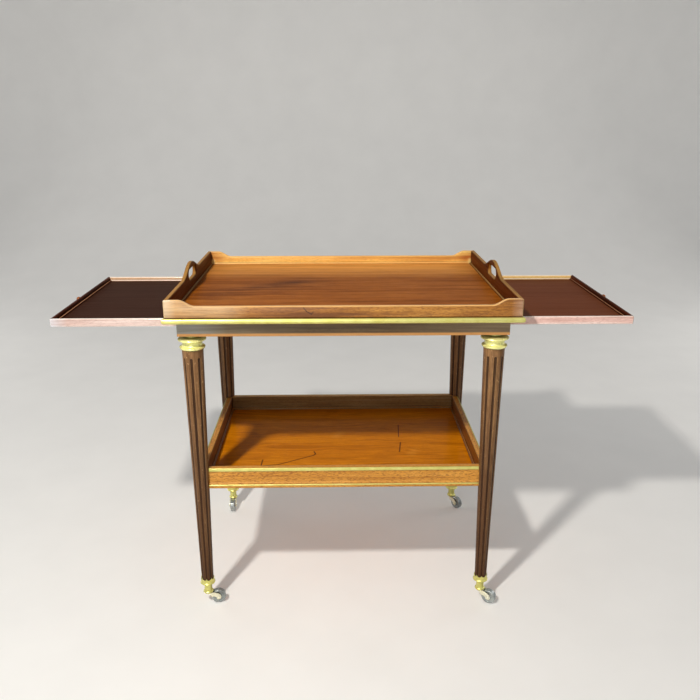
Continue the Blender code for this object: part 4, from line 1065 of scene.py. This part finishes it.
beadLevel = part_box("shelf_floor")[1].z
for side in sides:
    half, reach, foot, height = sideRun("shelf_wall_" + side)[:4]
    reach -= shelfSize["proud"]
    capHalf, capReach, capFoot, *capSize = sideRun("shelf_edge_" + side)
    grain = {"front": shelfWallWood, "back": shelfBackWood}.get(side, shelfSideWood)
    runs = [
        ("shelfBoard_", shelfWallSection(height), half, reach, foot, ["shelf_wall_" + side]),
        ("shelfLine_", lineSection(), half, reach, foot, []),
        ("shelfBead_", beadSection(shelfSize["bead"]), half, reach - shelfSize["wall"], beadLevel, []),
        ("shelfCap_", capSection(*capSize), capHalf, capReach, capFoot, ["shelf_edge_" + side]),
    ]
    for name, section, run, out, level, replaced in runs:
        mesh = onSide(strip(name, section, -run, run, (0, 0)), side, out, level)
        look = (grain, "cart", "shelf_wood") if name in ("shelfBoard_", "shelfBead_") else (brass, "cart", "brass")
        addPiece(name + side, mesh, *look, *replaced)
print("shelf done")

finishes = (  # of the solids that stay
    (apronWood, "apron_front", "apron_back"), (apronEndWood, "apron_left", "apron_right", "centre_rail"),
    (topBoardWood, "top_board"), (trayFloorWood, "tray_floor"), (shelfFloorWood, "shelf_floor"),
    (leftPanelShadeWood, "left_leaf_panel", "left_leaf_stop"), (rightPanelLitWood, "right_leaf_panel", "right_leaf_stop"),
)
for material, *names in finishes:
    for name in names:
        for holder in frame["nodes"][name].material_slots:
            holder.material = material
print("solids finished")

floorLook = {
    "tone": tint(232, 231, 228), "width": 22.0, "front": -12.0, "bend": 2.4, "radius": 1.4, "height": 5.0,
    "lift": 0.16, "mottle": 0.96, "rough": 0.75,
}
lampAim = Vector((0, 0, 0.4))
lampSetup = {
    "key": {"place": (-0.85, -1.65, 2.3), "size": 0.15, "power": 55, "tone": (1.0, 0.96, 0.9)},
    "frontFill": {"place": (-0.5, -2.6, 0.85), "size": 1.2, "power": 13.5, "tone": (1.0, 0.98, 0.95)},
    "leftFill": {"place": (-3.0, 1.7, 1.1), "size": 1.4, "power": 16, "tone": (1.0, 0.98, 0.96)},
    "rightFill": {"place": (3.0, 1.7, 1.1), "size": 1.4, "power": 16, "tone": (1.0, 0.98, 0.96)},
}
worldLight = {"tone": (0.97, 0.98, 1.0, 1), "diffuse": 0.21, "seen": 0.72}
view = {"place": (-0.0161, -1.6609, 1.0487), "turn": (72.5306, 0.0, -1.1221), "lens": 38.463, "sensor": 36.0}


def seenRays(tree):  # 1 for the rays that show the backdrop, 0 for those that light the cart
    path = node(tree, "ShaderNodeLightPath").outputs
    seen = calc(tree, "MAXIMUM", path["Is Camera Ray"], path["Is Glossy Ray"])
    return calc(tree, "MAXIMUM", seen, path["Is Transmission Ray"])


def makeFloor():
    f = floorLook
    path = [(f["front"], 0.0)]
    path += arc(f["bend"], f["radius"], f["radius"], f["radius"], -90, 0, 16)
    path.append((f["bend"] + f["radius"], f["height"]))
    form = bmesh.new()
    rows = [[form.verts.new((end * f["width"] / 2, y, z)) for end in bothEnds] for y, z in path]
    for first, second in zip(rows, rows[1:]):
        form.faces.new((first[0], first[1], second[1], second[0]))
    mesh = bpy.data.meshes.new("studioFloor")
    form.to_mesh(mesh)
    form.free()
    mesh.polygons.foreach_set("use_smooth", [True] * len(mesh.polygons))
    material, tree, surface = newMaterial("studioFloor")
    mottle = patches(tree, objectPlace(tree), (5,) * 3, 3, 0.55, 0.3, 0.7)
    darker = tuple(value * f["mottle"] for value in f["tone"][:3]) + (1.0,)
    feed(tree, surface["Base Color"], mixColour(tree, mottle, f["tone"], darker))
    surface["Roughness"].default_value = f["rough"]
    surface["Emission Color"].default_value = f["tone"]
    feed(tree, surface["Emission Strength"], calc(tree, "MULTIPLY", seenRays(tree), f["lift"]))
    mesh.materials.append(material)
    floor = bpy.data.objects.new("studioFloor", mesh)
    scene.collection.objects.link(floor)


def addLamp(name, place, size, power, tone):
    lamp = bpy.data.lights.new(name, "AREA")
    lamp.shape = "DISK"
    lamp.size = size
    lamp.energy = power
    lamp.color = tone
    holder = bpy.data.objects.new(name, lamp)
    holder.location = place
    holder.rotation_euler = (lampAim - holder.location).to_track_quat("-Z", "Y").to_euler()
    scene.collection.objects.link(holder)


def makeWorld():
    world = bpy.data.worlds.new("studio")
    world.use_nodes = True
    tree = world.node_tree
    background = tree.nodes["Background"].inputs
    background["Color"].default_value = worldLight["tone"]
    strength = spread(tree, seenRays(tree), 0, 1, worldLight["diffuse"], worldLight["seen"])
    feed(tree, background["Strength"], strength)
    scene.world = world


makeFloor()
for name, setup in lampSetup.items():
    addLamp(name, **setup)
makeWorld()
scene.view_settings.view_transform = "Standard"
lens = bpy.data.cameras.new("photoView")
lens.lens = view["lens"]
lens.sensor_width = view["sensor"]
camera = bpy.data.objects.new("photoView", lens)
camera.location = view["place"]
camera.rotation_euler = [math.radians(angle) for angle in view["turn"]]
scene.collection.objects.link(camera)
scene.camera = camera
print("stage set")
